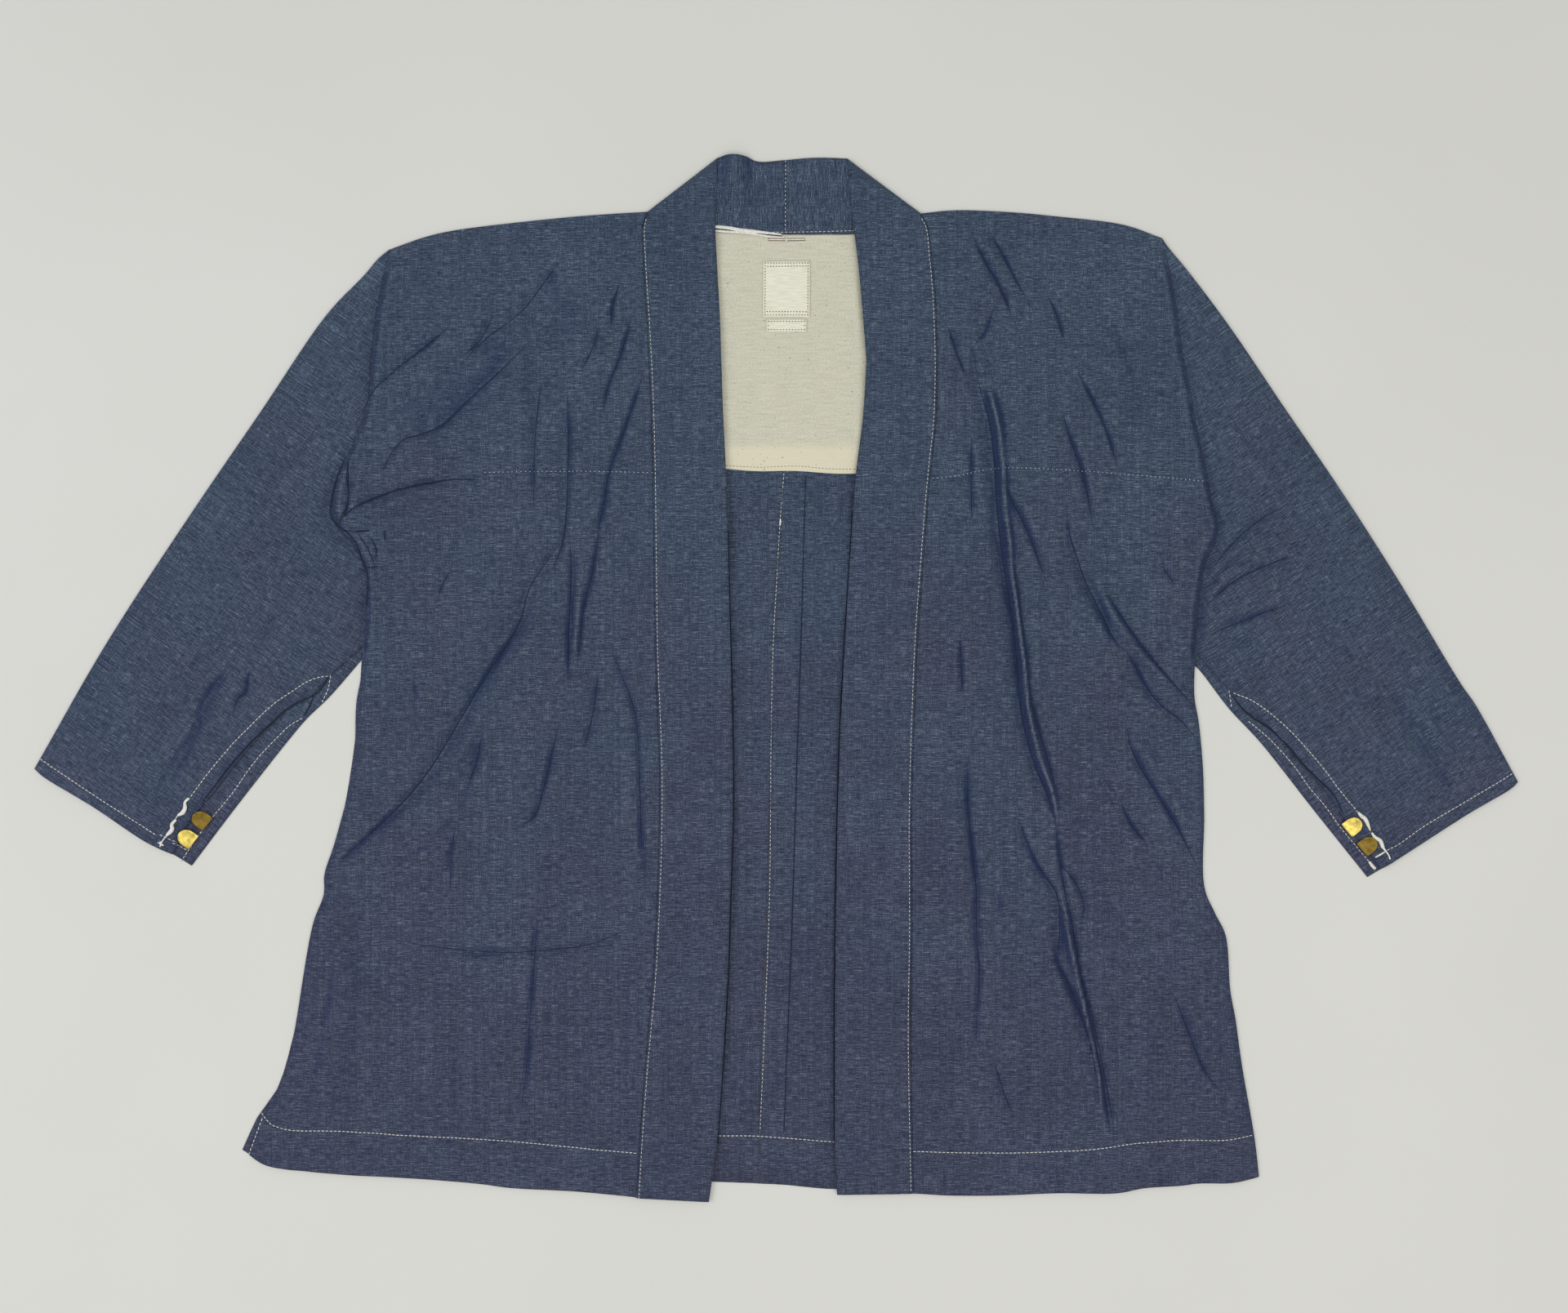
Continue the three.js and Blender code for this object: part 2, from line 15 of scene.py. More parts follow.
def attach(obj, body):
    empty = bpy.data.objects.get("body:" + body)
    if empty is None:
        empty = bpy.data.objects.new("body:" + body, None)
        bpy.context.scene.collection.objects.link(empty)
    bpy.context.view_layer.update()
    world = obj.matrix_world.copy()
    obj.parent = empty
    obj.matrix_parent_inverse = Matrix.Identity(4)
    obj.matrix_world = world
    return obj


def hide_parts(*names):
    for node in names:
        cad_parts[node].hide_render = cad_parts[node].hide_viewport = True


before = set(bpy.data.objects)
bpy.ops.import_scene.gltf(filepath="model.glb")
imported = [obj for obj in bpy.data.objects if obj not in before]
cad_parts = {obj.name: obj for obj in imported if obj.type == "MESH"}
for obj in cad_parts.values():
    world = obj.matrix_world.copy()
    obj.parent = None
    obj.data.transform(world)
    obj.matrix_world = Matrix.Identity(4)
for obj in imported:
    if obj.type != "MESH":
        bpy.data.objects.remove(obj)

MM = 0.001  # metres in a millimetre
FAR = 1e9  # further than any place on the jacket
FINE = 40  # points on each stretch of a smooth curve
LANDING = 0.16  # mm squared: how softly a height stays above 0
TURN_ROWS = 9  # rows of points round a fold
SLOPE_SHADE, SLOPE_POWER, BEND_SHADE = 1.05, 1.3, 0.95  # how strongly slopes and bends are painted as shade, and crests as highlight
LOG = logging.getLogger("jacket")
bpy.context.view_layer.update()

Row = tuple[float, ...]
Table = Sequence[Row]


class Fold(NamedTuple):
    """A ridge or a crease in the cloth along a path that is read downwards.

    A crease has a negative rise. A positive skew softens the side on the right of the path as
    seen from above, and sharpens the other.
    """

    path: Table
    rise: float
    width: float
    skew: float = 0.0


@dataclass(frozen=True)
class FoldForm:
    """How every fold is formed, in mm or as shares of its own size.

    A crease is pinched to a sharp bottom, and a ridge or a broad hollow is round.
    """

    broad: float = 20.0
    reach: float = 5.0
    cells: int = 6
    fade_length: float = 24.0
    fade_share: float = 0.36
    beat: float = 7.0
    beat_level: float = 0.82
    beat_share: float = 0.18
    pinch_rise: float = 2.2
    pinch_fall: float = 2.4
    round_rise: float = 1.8
    round_fall: float = 1.2
    round_power: float = 1.6
    # Creases deeper and narrower than these also get a dark cord of painted shade along them.
    edged_rise: float = -1.25
    edged_width: float = 5.6


FORM = FoldForm()


class Sewing(Enum):
    """The sewing on the jacket: stitch length, pitch and thread width in mm."""

    TOPSTITCH = (2.3, 2.95, 0.62)
    SEAM = (2.05, 2.95, 0.46)
    PICKED = (0.8, 3.1, 0.5)
    LABEL_EDGE = (1.15, 2.0, 0.68)
    PRICKED = (1.3, 2.9, 0.5)
    TAN_HEM = (1.6, 2.4, 0.42)


@dataclass(frozen=True)
class Levels:
    """Heights of the middle of each layer above the table, in mm."""

    back: float = 0.48
    lining: float = 1.1
    label: float = 1.62
    front: float = 1.9
    band: float = 2.5
    neck: float = 0.85


LEVELS = Levels()


@dataclass(frozen=True)
class Half:
    """Outlines of one half of the jacket in mm, from the neck or shoulder outwards and down."""

    name: str
    out: int
    neck_point: Row
    mitre_top: Row
    shoulder: Table
    armhole: Table
    back_armhole: Table
    side: Table
    back_side: Table
    hem: Table
    back_hem: Table
    neckline: Table
    collar_top: Table
    band: Table
    band_end: Row
    sleeve_fold: Table
    slit: Table
    underarm: Table
    cuff: Table
    back_cuff: Table
    front_folds: Sequence[Fold]
    sleeve_folds: Sequence[Fold]
    body_cut: Row
    band_cut: Row
    sleeve_cut: Row


CENTRE_BACK: Table = (
    (6.1, 315.5), (4.9, 146), (2.6, 105), (-2.6, 23), (-4.1, -97), (-8.4, -214), (-12.6, -358.4),
)

LEFT = Half(
    name="left",
    out=-1,
    neck_point=(-91.3, 331.2),
    mitre_top=(-42, 368.9),
    shoulder=((-274.3, 304.5), (-249.7, 313.2), (-230, 317.8), (-151, 327.1), (-119, 329.6), (-91.3, 331.2)),
    armhole=(
        (-274.3, 304.5), (-279, 282), (-284, 255), (-287, 228), (-290, 196), (-301.5, 164), (-311.8, 143),
        (-315.4, 122), (-310.6, 108), (-299, 95), (-292.4, 80), (-290.6, 53), (-292.6, 23),
    ),
    back_armhole=((-274.3, 304.5), (-284, 255), (-289, 196), (-293, 110), (-293, 53), (-294.3, 13.3)),
    side=(
        (-292.6, 23), (-293.6, 6), (-297.8, -17), (-298.8, -46), (-300.7, -70), (-307, -94), (-314, -119),
        (-320.5, -139), (-321, -153), (-328.6, -174), (-341, -246), (-346, -273), (-355, -293),
        (-365, -308), (-370, -322), (-374.6, -337.5),
    ),
    back_side=(
        (-294.3, 13.3), (-297, -26), (-304.5, -81), (-320, -150), (-328, -174), (-341, -246), (-355, -293),
        (-366.8, -308.6), (-379, -334.5),
    ),
    hem=(
        (-374.6, -337.5), (-361.6, -345.1), (-328, -349.7), (-303, -352), (-276, -353.2), (-240, -355.5),
        (-207, -358.6), (-190, -361), (-141, -363.7), (-98.6, -367.7),
    ),
    back_hem=((-379, -334.5), (-361.6, -344.3), (-276, -351), (-141, -355), (-43, -357.3), (-12.6, -358.4)),
    neckline=((-91.3, 331.2), (-68, 323.1), (-43.8, 317.8), (-19.4, 316.1), (6.1, 315.5)),
    collar_top=((-42, 368.9), (-34.5, 371.2), (-22.3, 370.2), (-13, 366.8), (6.1, 367.9)),
    band=(
        (331.2, -91.3, -43.8), (320, -94.8, -43.4), (290, -93.7, -41.8), (253, -91.3, -39.8),
        (192, -88.4, -37.9), (146, -87.2, -35.6), (105, -86.7, -34.3), (57, -86.1, -33.4),
        (19, -85.5, -32.3), (-57, -82.6, -30.7), (-98, -82.4, -30.7), (-151, -83.8, -32.4),
        (-208, -86.7, -34.2), (-281, -93.1, -38.3), (-330, -96.6, -42), (-368, -98.9, -47.8),
    ),
    band_end=(-368.2, -371),
    sleeve_fold=(
        (-274.3, 304.5), (-281.6, 298.7), (-292, 286.5), (-318, 259.3), (-366, 189), (-419, 111.4),
        (-476, 23.8), (-526.3, -63.8),
    ),
    slit=(
        (-292.6, 23), (-304, 13), (-317, 1.7), (-329, -11.6), (-347, -22.6), (-367, -41.5), (-385, -62.6),
        (-399, -80.3), (-409, -92.5), (-419, -106), (-428.3, -124.7),
    ),
    underarm=(
        (-294.3, 13.3), (-317.5, -13.3), (-333.2, -28.4), (-346, -43.5), (-382.5, -89.9), (-415, -132.8),
    ),
    cuff=((-526.3, -63.8), (-520.5, -69), (-485.2, -90.5), (-446.9, -116), (-428.3, -124.7)),
    back_cuff=(
        (-526.3, -63.8), (-520.5, -69), (-485.2, -90.5), (-446.9, -116), (-428.3, -124.7), (-415, -132.8),
    ),
    front_folds=(
        Fold(((-148, 203), (-147.5, 170), (-149, 116), (-152, 95), (-160, 74)), -2.5, 5.4, -0.5),
        Fold((
            (-151, 99), (-175, 64), (-182, 40), (-208, -2), (-247, -66), (-265, -88), (-289, -111),
            (-316, -135),
        ), -2.9, 5, 0.35),
        Fold(((-160, 58), (-172, 30), (-198, -10), (-237, -73), (-256, -96), (-284, -122)), 1.7, 8),
        Fold(((-186, 66), (-196, 40), (-221, 0), (-258, -60), (-282, -86)), 1.2, 8),
        Fold(((-140, 200), (-139, 168), (-140, 118)), 0.9, 8),
        Fold(((-146, 99), (-145.5, 75), (-147, 35), (-147.7, -5)), -2.9, 4.2, 0.4),
        Fold(((-136, 92), (-140, 60), (-142, 10)), 1.0, 5),
        Fold(((-94, 216), (-98.4, 203), (-108, 175.7), (-117.6, 149), (-123, 122), (-128, 96)), -2.1, 3.2),
        Fold(((-124, 108), (-127, 96), (-131, 72), (-136, 52), (-139, 28), (-141, 6)), -2.1, 3.2),
        Fold(((-95, 186), (-100, 160), (-112, 134), (-118, 100), (-126, 60)), 1.0, 7),
        Fold(((-166, 215), (-171, 170), (-172, 119)), -1.5, 3.8, -0.3),
        Fold((
            (-174, 240), (-196, 218), (-219, 197), (-238.6, 179), (-252, 173), (-265, 169), (-274, 158),
            (-281, 141),
        ), -2.5, 5, -0.4),
        Fold(((-190, 240), (-212, 220), (-232, 205), (-256, 190), (-276, 176)), 1.8, 9),
        Fold(((-170, 214), (-196, 196), (-226, 178), (-252, 158)), 1.3, 10),
        Fold((
            (-228, 253), (-236.7, 245), (-254, 231), (-271, 218), (-287, 202), (-296, 183),
        ), -1.8, 3.2, -0.2),
        Fold(((-152, 298), (-163, 283), (-181, 260), (-206, 241), (-222, 224)), -1.7, 4.6, 0.2),
        Fold(((-201, 257), (-210, 240), (-222, 228)), -1.7, 3.6),
        Fold(((-158, 291), (-163, 276)), -0.7, 3),
        Fold(((-128, 270), (-170, 240), (-222, 205), (-270, 170)), -0.9, 44),
        Fold(((-110, 282), (-116, 264), (-117, 246)), -1.8, 3.4),
        Fold(((-125, 250), (-131, 233), (-138, 219)), -1.5, 3.4),
        Fold(((-102, 260), (-106, 244), (-111, 228), (-119.5, 206), (-123, 184)), -1.8, 3.4),
        Fold((
            (-309.5, 111), (-297.5, 122.4), (-273, 132.5), (-250, 138.3), (-226, 141.2), (-203, 140),
        ), -2.5, 2.4, 0.3),
        Fold(((-306, 104), (-290, 116), (-264, 126), (-234, 133)), 1.6, 5),
        Fold(((-303, 160), (-303.4, 132.5), (-304.1, 121), (-309.2, 110)), -2.0, 2.2),
        Fold(((-296, 150), (-297, 134), (-299, 126)), 1.2, 4),
        Fold(((-309, 112), (-310, 108), (-302, 104.6), (-294, 105), (-286, 105)), -1.8, 2.4),
        Fold(((-297, 104), (-290, 93), (-284, 79)), -2.0, 4.2),
        Fold(((-294, 79.5), (-287, 78.9), (-280, 79.6)), -1.7, 2.4),
        Fold(((-279, 107), (-276.5, 97)), -1.0, 3),
        Fold(((-231, 77), (-237, 66), (-240, 57)), -1.4, 5),
        Fold(((-214, -60), (-222, -84), (-234, -104), (-252, -118)), -1.1, 7),
        Fold(((-127, -10), (-131, -30), (-138, -56)), -0.9, 9),
        Fold(((-148, 190), (-149, 150), (-152, 110)), -0.8, 12),
        Fold(((-160, 80), (-178, 58), (-196, 24)), -0.8, 12),
        Fold(((-258, 1), (-254, -17)), -1.0, 2.6),
        Fold(((-208, -38), (-213, -59), (-219, -78)), -1.8, 4.6, -0.3),
        Fold(((-202, -40), (-206, -62), (-213, -84)), 0.9, 6),
        Fold(((-238, -112), (-255, -123), (-273, -137)), -1.1, 4),
        Fold(((-154, -33), (-160, -56), (-165, -78), (-172, -98), (-186, -107)), -1.9, 4.2, -0.3),
        Fold(((-147, -36), (-153, -62), (-160, -92)), 0.9, 7),
        Fold(((-126, 6), (-129, -19), (-136, -50)), -1.9, 5.4),
        Fold((
            (-118, 26), (-112, 8), (-104, -12), (-99, -32), (-97, -73), (-95.5, -116), (-93.5, -147),
        ), -2.0, 3.4),
        Fold((
            (-264, -187), (-225, -192), (-195, -194), (-171, -193), (-131, -188), (-104, -177),
        ), -1.7, 3.6, -0.2),
        Fold(((-250, -198), (-215, -202), (-178, -203), (-136, -198)), 0.8, 8),
        Fold(((-169.5, -165), (-171, -194), (-174.5, -241), (-176.5, -271), (-181.5, -310)), -1.6, 3.6),
        Fold(((-163, -205), (-167, -246), (-173, -306)), 0.8, 7),
        Fold(((-227, -102), (-230, -123), (-231, -150)), -1.5, 3.8),
        Fold(((-296, -68), (-292, -104)), -0.8, 5),
        Fold(((-200, 97), (-203, 75)), -0.7, 4),
        Fold(((-298, -188), (-306, -232), (-312, -272), (-323, -324)), 1.7, 12, -0.3),
        Fold(((-312, -190), (-322, -250), (-337, -318)), -1.0, 7),
        Fold(((-264, -250), (-268, -348)), 0.8, 8),
        Fold(((-228, -262), (-232, -352)), -0.7, 6),
        Fold(((-130, -240), (-126, -350)), 0.7, 8),
        Fold(((-120, 318), (-132, 262)), 0.8, 9),
        Fold(((-246, 60), (-252, -20)), 0.7, 10),
        Fold(((-222, 112), (-232, 84), (-250, 52)), -0.7, 7),
        Fold(((-196, 306), (-206, 250)), -0.6, 8),
    ),
    sleeve_folds=(
        Fold(((-380, 14), (-403.4, -12.5), (-412.8, -38.6), (-428, -63.2), (-442, -96)), -3.0, 6.4, 0.3),
        Fold(((-390, -10), (-401.2, -40), (-430, -88)), 1.2, 8),
        Fold(((-371, 9), (-374.4, 0.6), (-375.8, -8.8), (-381.6, -14.6), (-384.5, -26)), -1.9, 3.0),
        Fold(((-344, 186), (-402.1, 71), (-474, -36)), 1.3, 22),
        Fold(((-322, 92), (-374, 16)), -0.9, 12),
        Fold(((-306, 96), (-340, 74)), 0.9, 7),
        Fold(((-300, 84), (-334, 56)), -0.7, 6),
        Fold(((-295, 60), (-322, 40)), 0.8, 7),
        Fold(((-286, 250), (-300, 190)), 0.8, 7),
        Fold(((-440, 60), (-490, -40)), -0.5, 12),
        Fold(((-352, 60), (-402, -20)), 0.6, 10),
    ),
    body_cut=(0.385, 1.386, 0.364),
    band_cut=(0.053, 0.82, 0.0426),
    sleeve_cut=(0.3, 0.446, 0.092),
)

RIGHT = Half(
    name="right",
    out=1,
    neck_point=(102.4, 330),
    mitre_top=(50.2, 368.9),
    shoulder=((273.5, 312.6), (246.8, 321.9), (195.8, 328.3), (171.4, 330.6), (127.3, 332.3), (102.4, 330)),
    armhole=(
        (273.5, 312.6), (280, 285), (284, 262), (288, 232), (293, 208), (297, 184), (304, 154),
        (308.4, 130), (313.6, 110), (311.5, 98), (305, 84), (300.5, 57), (297.2, 18.6),
    ),
    back_armhole=((273.5, 312.6), (284, 262), (292, 200), (297, 110), (297, 53), (295.5, 10.4)),
    side=(
        (297.2, 18.6), (296.7, -13), (299.6, -30), (302.5, -60), (303.6, -96), (303.8, -148), (311, -166),
        (318.7, -182), (322.2, -222), (325.7, -241), (330.3, -274), (339.6, -328), (342.5, -353.6),
    ),
    back_side=(
        (295.5, 10.4), (296.5, -13), (302.3, -60), (303.4, -96), (303.6, -148), (318, -182), (322, -222),
        (330, -274), (339.4, -328), (342.3, -352.4),
    ),
    hem=(
        (342.5, -353.6), (322.8, -357.7), (300, -358), (287.4, -359.6), (260, -361.5), (242, -364.8),
        (200, -364.8), (154, -366.6), (120, -366.4), (97, -364.9),
    ),
    back_hem=((342.3, -352.4), (287, -356), (154, -360), (42, -362.5), (3.8, -359.2), (-12.6, -358.4)),
    neckline=((102.4, 330), (80.9, 321.3), (57.7, 316.1), (31.6, 315.5), (6.1, 315.5)),
    collar_top=((50.2, 368.9), (42, 369.4), (25.2, 369.5), (6.1, 367.9)),
    band=(
        (330, 102.4, 55.4), (320, 107.6, 54.6), (297, 110.2, 57.8), (272, 112.4, 60.2), (226, 114.1, 63.9),
        (200, 113.8, 62.6), (181, 112.8, 61.2), (146, 109, 56.5), (118, 106.5, 54.4), (88, 104.2, 52.5),
        (21, 99.5, 48.4), (-40, 97.2, 45.2), (-98, 95.7, 43.5), (-176, 96, 42), (-253, 95, 41.5),
        (-330, 96.3, 41.5), (-365, 97.1, 43.2),
    ),
    band_end=(-365, -365.8),
    sleeve_fold=(
        (273.5, 312.6), (277.5, 306.8), (291.4, 290), (321, 250.6), (360, 193), (399.9, 134.6),
        (440.5, 71.3), (485.7, -3.5), (496.2, -18.6), (526.3, -73.1),
    ),
    slit=(
        (297.2, 18.6), (310.6, 3.5), (324.5, -11.6), (332, -22), (343.1, -28.4), (356.4, -40.6),
        (367.4, -53.9), (378.7, -67.3), (389.9, -79.5), (403.2, -99.8), (414.4, -115.4), (428.9, -135.1),
    ),
    underarm=((295.5, 10.4), (300.1, 6.4), (321.6, -21.5), (343.6, -45.2), (381, -92.6), (419.6, -140.9)),
    cuff=((526.3, -73.1), (522.3, -77.1), (491, -95.7), (435.9, -131.1), (428.9, -135.1)),
    back_cuff=((526.3, -73.1), (522.3, -77.1), (491, -95.7), (435.9, -131.1), (419.6, -140.9)),
    front_folds=(
        Fold(((154, 263), (149, 247), (140, 236)), -1.9, 3.4),
        Fold(((121.5, 250), (127, 234), (134, 214)), -2.0, 3.8, 0.3),
        Fold((
            (139, 240), (142, 217), (147, 197), (151.5, 180), (155, 150), (157, 116), (160, 89), (164, 62),
            (168.5, 35), (171, 8), (173, -19), (177.5, -42), (185, -66), (192.5, -83), (198.5, -106),
        ), -2.8, 4.6, -0.45),
        Fold((
            (147, 222), (153.5, 194), (158, 173), (160.5, 146), (162, 123), (166, 89), (171, 45),
            (176.5, 1), (179, -25), (186.5, -56), (194.5, -79), (200, -110),
        ), 2.6, 3.2),
        Fold(((166, 97), (173, 45), (177.5, 12), (181, -19), (191, -52), (199, -83)), -1.7, 3.4, 0.3),
        Fold(((154, 212), (160, 186), (164, 158)), -1.0, 4, 0.4),
        Fold(((130, 236), (134, 200), (141, 160), (147, 110), (154, 50), (162, -10)), 1.1, 7),
        Fold((
            (197, -98), (201, -126), (205, -153), (209.5, -173), (214.5, -204), (221, -234), (228, -268),
            (233, -298), (237, -326),
        ), -2.4, 3.2),
        Fold(((203, -150), (209, -192), (216, -222), (222, -254), (229, -286), (235, -322)), 2.4, 3.2),
        Fold((
            (170.5, -95), (177.5, -116), (187.5, -136), (199, -153), (201, -180), (199.5, -200),
            (206, -214), (214.5, -234), (223, -261), (229, -296),
        ), -2.4, 4.2, -0.4),
        Fold(((202, -132), (213, -146), (218, -160), (216, -176)), -2.5, 5.0, 0.2),
        Fold(((146, 238), (149, 218), (153, 196)), -1.7, 7),
        Fold(((221, -225), (228, -258), (234.5, -291), (239.5, -322)), -1.5, 3.4, 0.3),
        Fold(((178, -120), (188, -148), (192, -186), (206, -236), (218, -290)), 0.9, 6),
        Fold(((160, 143), (167, 126), (176, 109), (184, 89), (191, 70)), -2.2, 3.4),
        Fold(((168, 142), (176, 122), (186, 100), (196, 78)), 1.1, 6),
        Fold(((202.5, 191), (207.5, 173), (214.5, 153), (220, 133), (224.5, 108)), -2.3, 4.4, -0.2),
        Fold(((211, 186), (218, 160), (227, 128)), 0.9, 6),
        Fold(((192, 272), (199, 257), (204.5, 239)), -1.9, 3),
        Fold(((212, 221), (219, 207), (228, 190), (236, 170), (242, 148)), -1.7, 3.4),
        Fold(((138.5, 315), (149, 294), (160.5, 274), (167.5, 254)), -2.0, 3.4),
        Fold(((150.5, 318), (160.5, 301), (169, 284), (178, 268)), -1.6, 3),
        Fold(((145, 317), (156, 294), (166, 276)), 0.9, 4),
        Fold((
            (205, 119), (209, 99), (214.5, 82), (221, 65), (231, 45), (240, 27), (247, 19),
        ), -2.9, 5.2, 0.3),
        Fold(((246, 22), (255, 8), (263, -7), (273, -19), (287, -30), (298, -43)), -2.6, 4.6, -0.3),
        Fold(((232, 64), (246, 42), (263, 18), (280, -2), (298, -21)), -1.9, 3.2),
        Fold(((222, 82), (236, 50), (256, 20), (276, 0), (294, -24)), 1.5, 5.5),
        Fold(((196, 112), (202, 86), (212, 60), (228, 34), (244, 8)), 1.3, 7),
        Fold(((248, -31), (251.5, -49), (260, -66), (271.5, -84), (283, -103), (301, -138)), -2.4, 4.2, -0.3),
        Fold(((256, -34), (264, -58), (279, -82), (298, -118)), 1.1, 6),
        Fold(((243, -85), (251.5, -103), (264, -119)), -1.7, 3.6),
        Fold(((223, -55), (243, -86)), -0.8, 4),
        Fold(((130, 33), (131, 12), (132.5, -13)), -1.9, 3.2),
        Fold(((138, 174), (138, 143), (138.5, 111)), -1.6, 3.4),
        Fold((
            (136, -54), (135.5, -83), (138, -113), (141.5, -147), (142, -180), (144, -210), (142, -241),
            (141.5, -262),
        ), -2.0, 4.2),
        Fold(((128, -60), (128, -110), (133, -160), (135, -220)), 0.9, 7),
        Fold(((151, -120), (151, -170), (153, -230)), 0.8, 7),
        Fold(((157, -149), (161, -168)), -0.9, 4),
        Fold(((154, -270), (160.5, -291), (168, -310)), -1.5, 3.8),
        Fold(((281.5, -223), (293.5, -254), (303.5, -278), (314, -292)), -1.6, 4.4),
        Fold(((290, -224), (302, -252), (314, -274)), 1.0, 7),
        Fold(((286, 100), (298, 93)), -0.9, 3),
        Fold(((273, 80), (283, 66)), -1.6, 5.4),
        Fold(((281, 38), (295, 46)), -1.0, 2.6),
        Fold(((262, 250), (286, 150)), 0.8, 12),
        Fold(((262, -250), (268, -350)), 0.7, 8),
        Fold(((182, -300), (186, -360)), 0.6, 7),
        Fold(((122, -280), (119, -356)), 0.6, 7),
        Fold(((236, 262), (252, 214), (262, 170)), -0.7, 7),
        Fold(((178, 226), (184, 196), (190, 160)), 0.7, 8),
    ),
    sleeve_folds=(
        Fold(((429, 4), (453.9, -42.6), (484, -86)), -1.4, 7),
        Fold(((440, 6), (463.5, -35.6), (492, -74)), 1.2, 9),
        Fold(((349, 192), (395.3, 100), (452, 14)), 1.2, 22),
        Fold(((308, 78), (322, 94), (338, 109), (362, 124)), -1.3, 3.4),
        Fold(((301, 58), (342, 82)), 0.7, 6),
        Fold(((302, 50), (326, 70), (352, 82), (372, 89)), -1.35, 3.4),
        Fold(((301, 60), (320, 81), (340, 92)), -1.0, 3.4),
        Fold(((304, 30), (333.2, 41.9), (366, 54)), -1.3, 3.4),
        Fold(((303, 36), (333.7, 50.8), (366, 62)), 0.7, 7),
        Fold(((314, 14), (352, 28)), 0.8, 6),
        Fold(((310, 262), (326, 206)), -0.9, 5),
        Fold(((318, 262), (336, 200)), 0.7, 7),
        Fold(((330, 20), (372, -30)), -0.7, 9),
        Fold(((388, 60), (420, 0)), 0.6, 10),
    ),
    body_cut=(0.356, 1.384, 0.357),
    band_cut=(0.053, 0.82, 0.0424),
    sleeve_cut=(0.3, 0.461, 0.091),
)


def smoothstep(t: np.ndarray | float) -> np.ndarray | float:
    """Return t eased from 0 to 1."""
    c = np.clip(t, 0.0, 1.0)
    return c * c * (3 - 2 * c)


def hex_linear(code: str) -> tuple[float, float, float, float]:
    """Turn an sRGB colour into linear values.

    Args:
        code: the colour, such as "#404860".

    Returns:
        Red, green, blue and full opacity.
    """
    parts = [int(code[i : i + 2], 16) / 255 for i in (1, 3, 5)]
    linear = [v / 12.92 if v <= 0.04045 else ((v + 0.055) / 1.055) ** 2.4 for v in parts]
    return (*linear, 1.0)


def curve(rows: Table, cells: int) -> np.ndarray:
    """Spread points evenly on the smooth curve through a table of (x, y).

    Args:
        rows: the points that the curve passes, in mm.
        cells: how many equal steps it is cut into.

    Returns:
        An array of cells + 1 points.
    """
    p = np.array(rows, dtype=float)
    p = np.vstack([2 * p[0] - p[1], p, 2 * p[-1] - p[-2]])
    t = np.concatenate([[0.0], np.cumsum(np.linalg.norm(np.diff(p, axis=0), axis=1) ** 0.5)])
    out = []
    for i in range(1, len(p) - 2):
        s = np.linspace(t[i], t[i + 1], FINE, endpoint=i == len(p) - 3)[:, None]
        a = [
            (t[k + 1] - s) / (t[k + 1] - t[k]) * p[k] + (s - t[k]) / (t[k + 1] - t[k]) * p[k + 1]
            for k in (i - 1, i, i + 1)
        ]
        b = [
            (t[i + 1 + k] - s) / (t[i + 1 + k] - t[i - 1 + k]) * a[k]
            + (s - t[i - 1 + k]) / (t[i + 1 + k] - t[i - 1 + k]) * a[k + 1]
            for k in (0, 1)
        ]
        out.append((t[i + 1] - s) / (t[i + 1] - t[i]) * b[0] + (s - t[i]) / (t[i + 1] - t[i]) * b[1])
    return resample(np.vstack(out), cells)


def resample(points: np.ndarray, cells: int) -> np.ndarray:
    """Cut a line of points into equal steps along its length.

    Args:
        points: the line's points.
        cells: how many steps it is cut into.

    Returns:
        An array of cells + 1 points.
    """
    run = np.concatenate([[0.0], np.cumsum(np.linalg.norm(np.diff(points, axis=0), axis=1))])
    at = np.linspace(0.0, run[-1], cells + 1)
    return np.stack([np.interp(at, run, points[:, k]) for k in range(points.shape[1])], axis=1)


def along(rows: Table, at: np.ndarray, column: int) -> np.ndarray:
    """Read a column of a table at heights between its rows, which run down."""
    table = np.array(rows, dtype=float)[::-1]
    return np.interp(at, table[:, 0], table[:, column])


def fill(start: np.ndarray, end: np.ndarray, near: np.ndarray, far: np.ndarray) -> np.ndarray:
    """Fill four borders that meet at their ends.

    Args:
        start, end: the first and last row, which run across.
        near, far: the first and last column, which run along.

    Returns:
        A grid of points, rows by columns by 2.
    """
    v = np.linspace(0, 1, len(near))[:, None, None]
    u = np.linspace(0, 1, len(start))[None, :, None]
    across = near[:, None] * (1 - u) + far[:, None] * u
    down = start[None] * (1 - v) + end[None] * v
    corners = (start[0] * (1 - u) + start[-1] * u) * (1 - v) + (end[0] * (1 - u) + end[-1] * u) * v
    return across + down - corners


def distance_to(points: np.ndarray, x: np.ndarray, y: np.ndarray) -> np.ndarray:
    """Measure how far places are from a line.

    Args:
        points: the line's points in mm.
        x, y: the places in mm.

    Returns:
        The distance from each place to the nearest of the points.
    """
    out = np.full(x.shape, FAR)
    for px, py in points:
        out = np.minimum(out, (x - px) ** 2 + (y - py) ** 2)
    return np.sqrt(out)


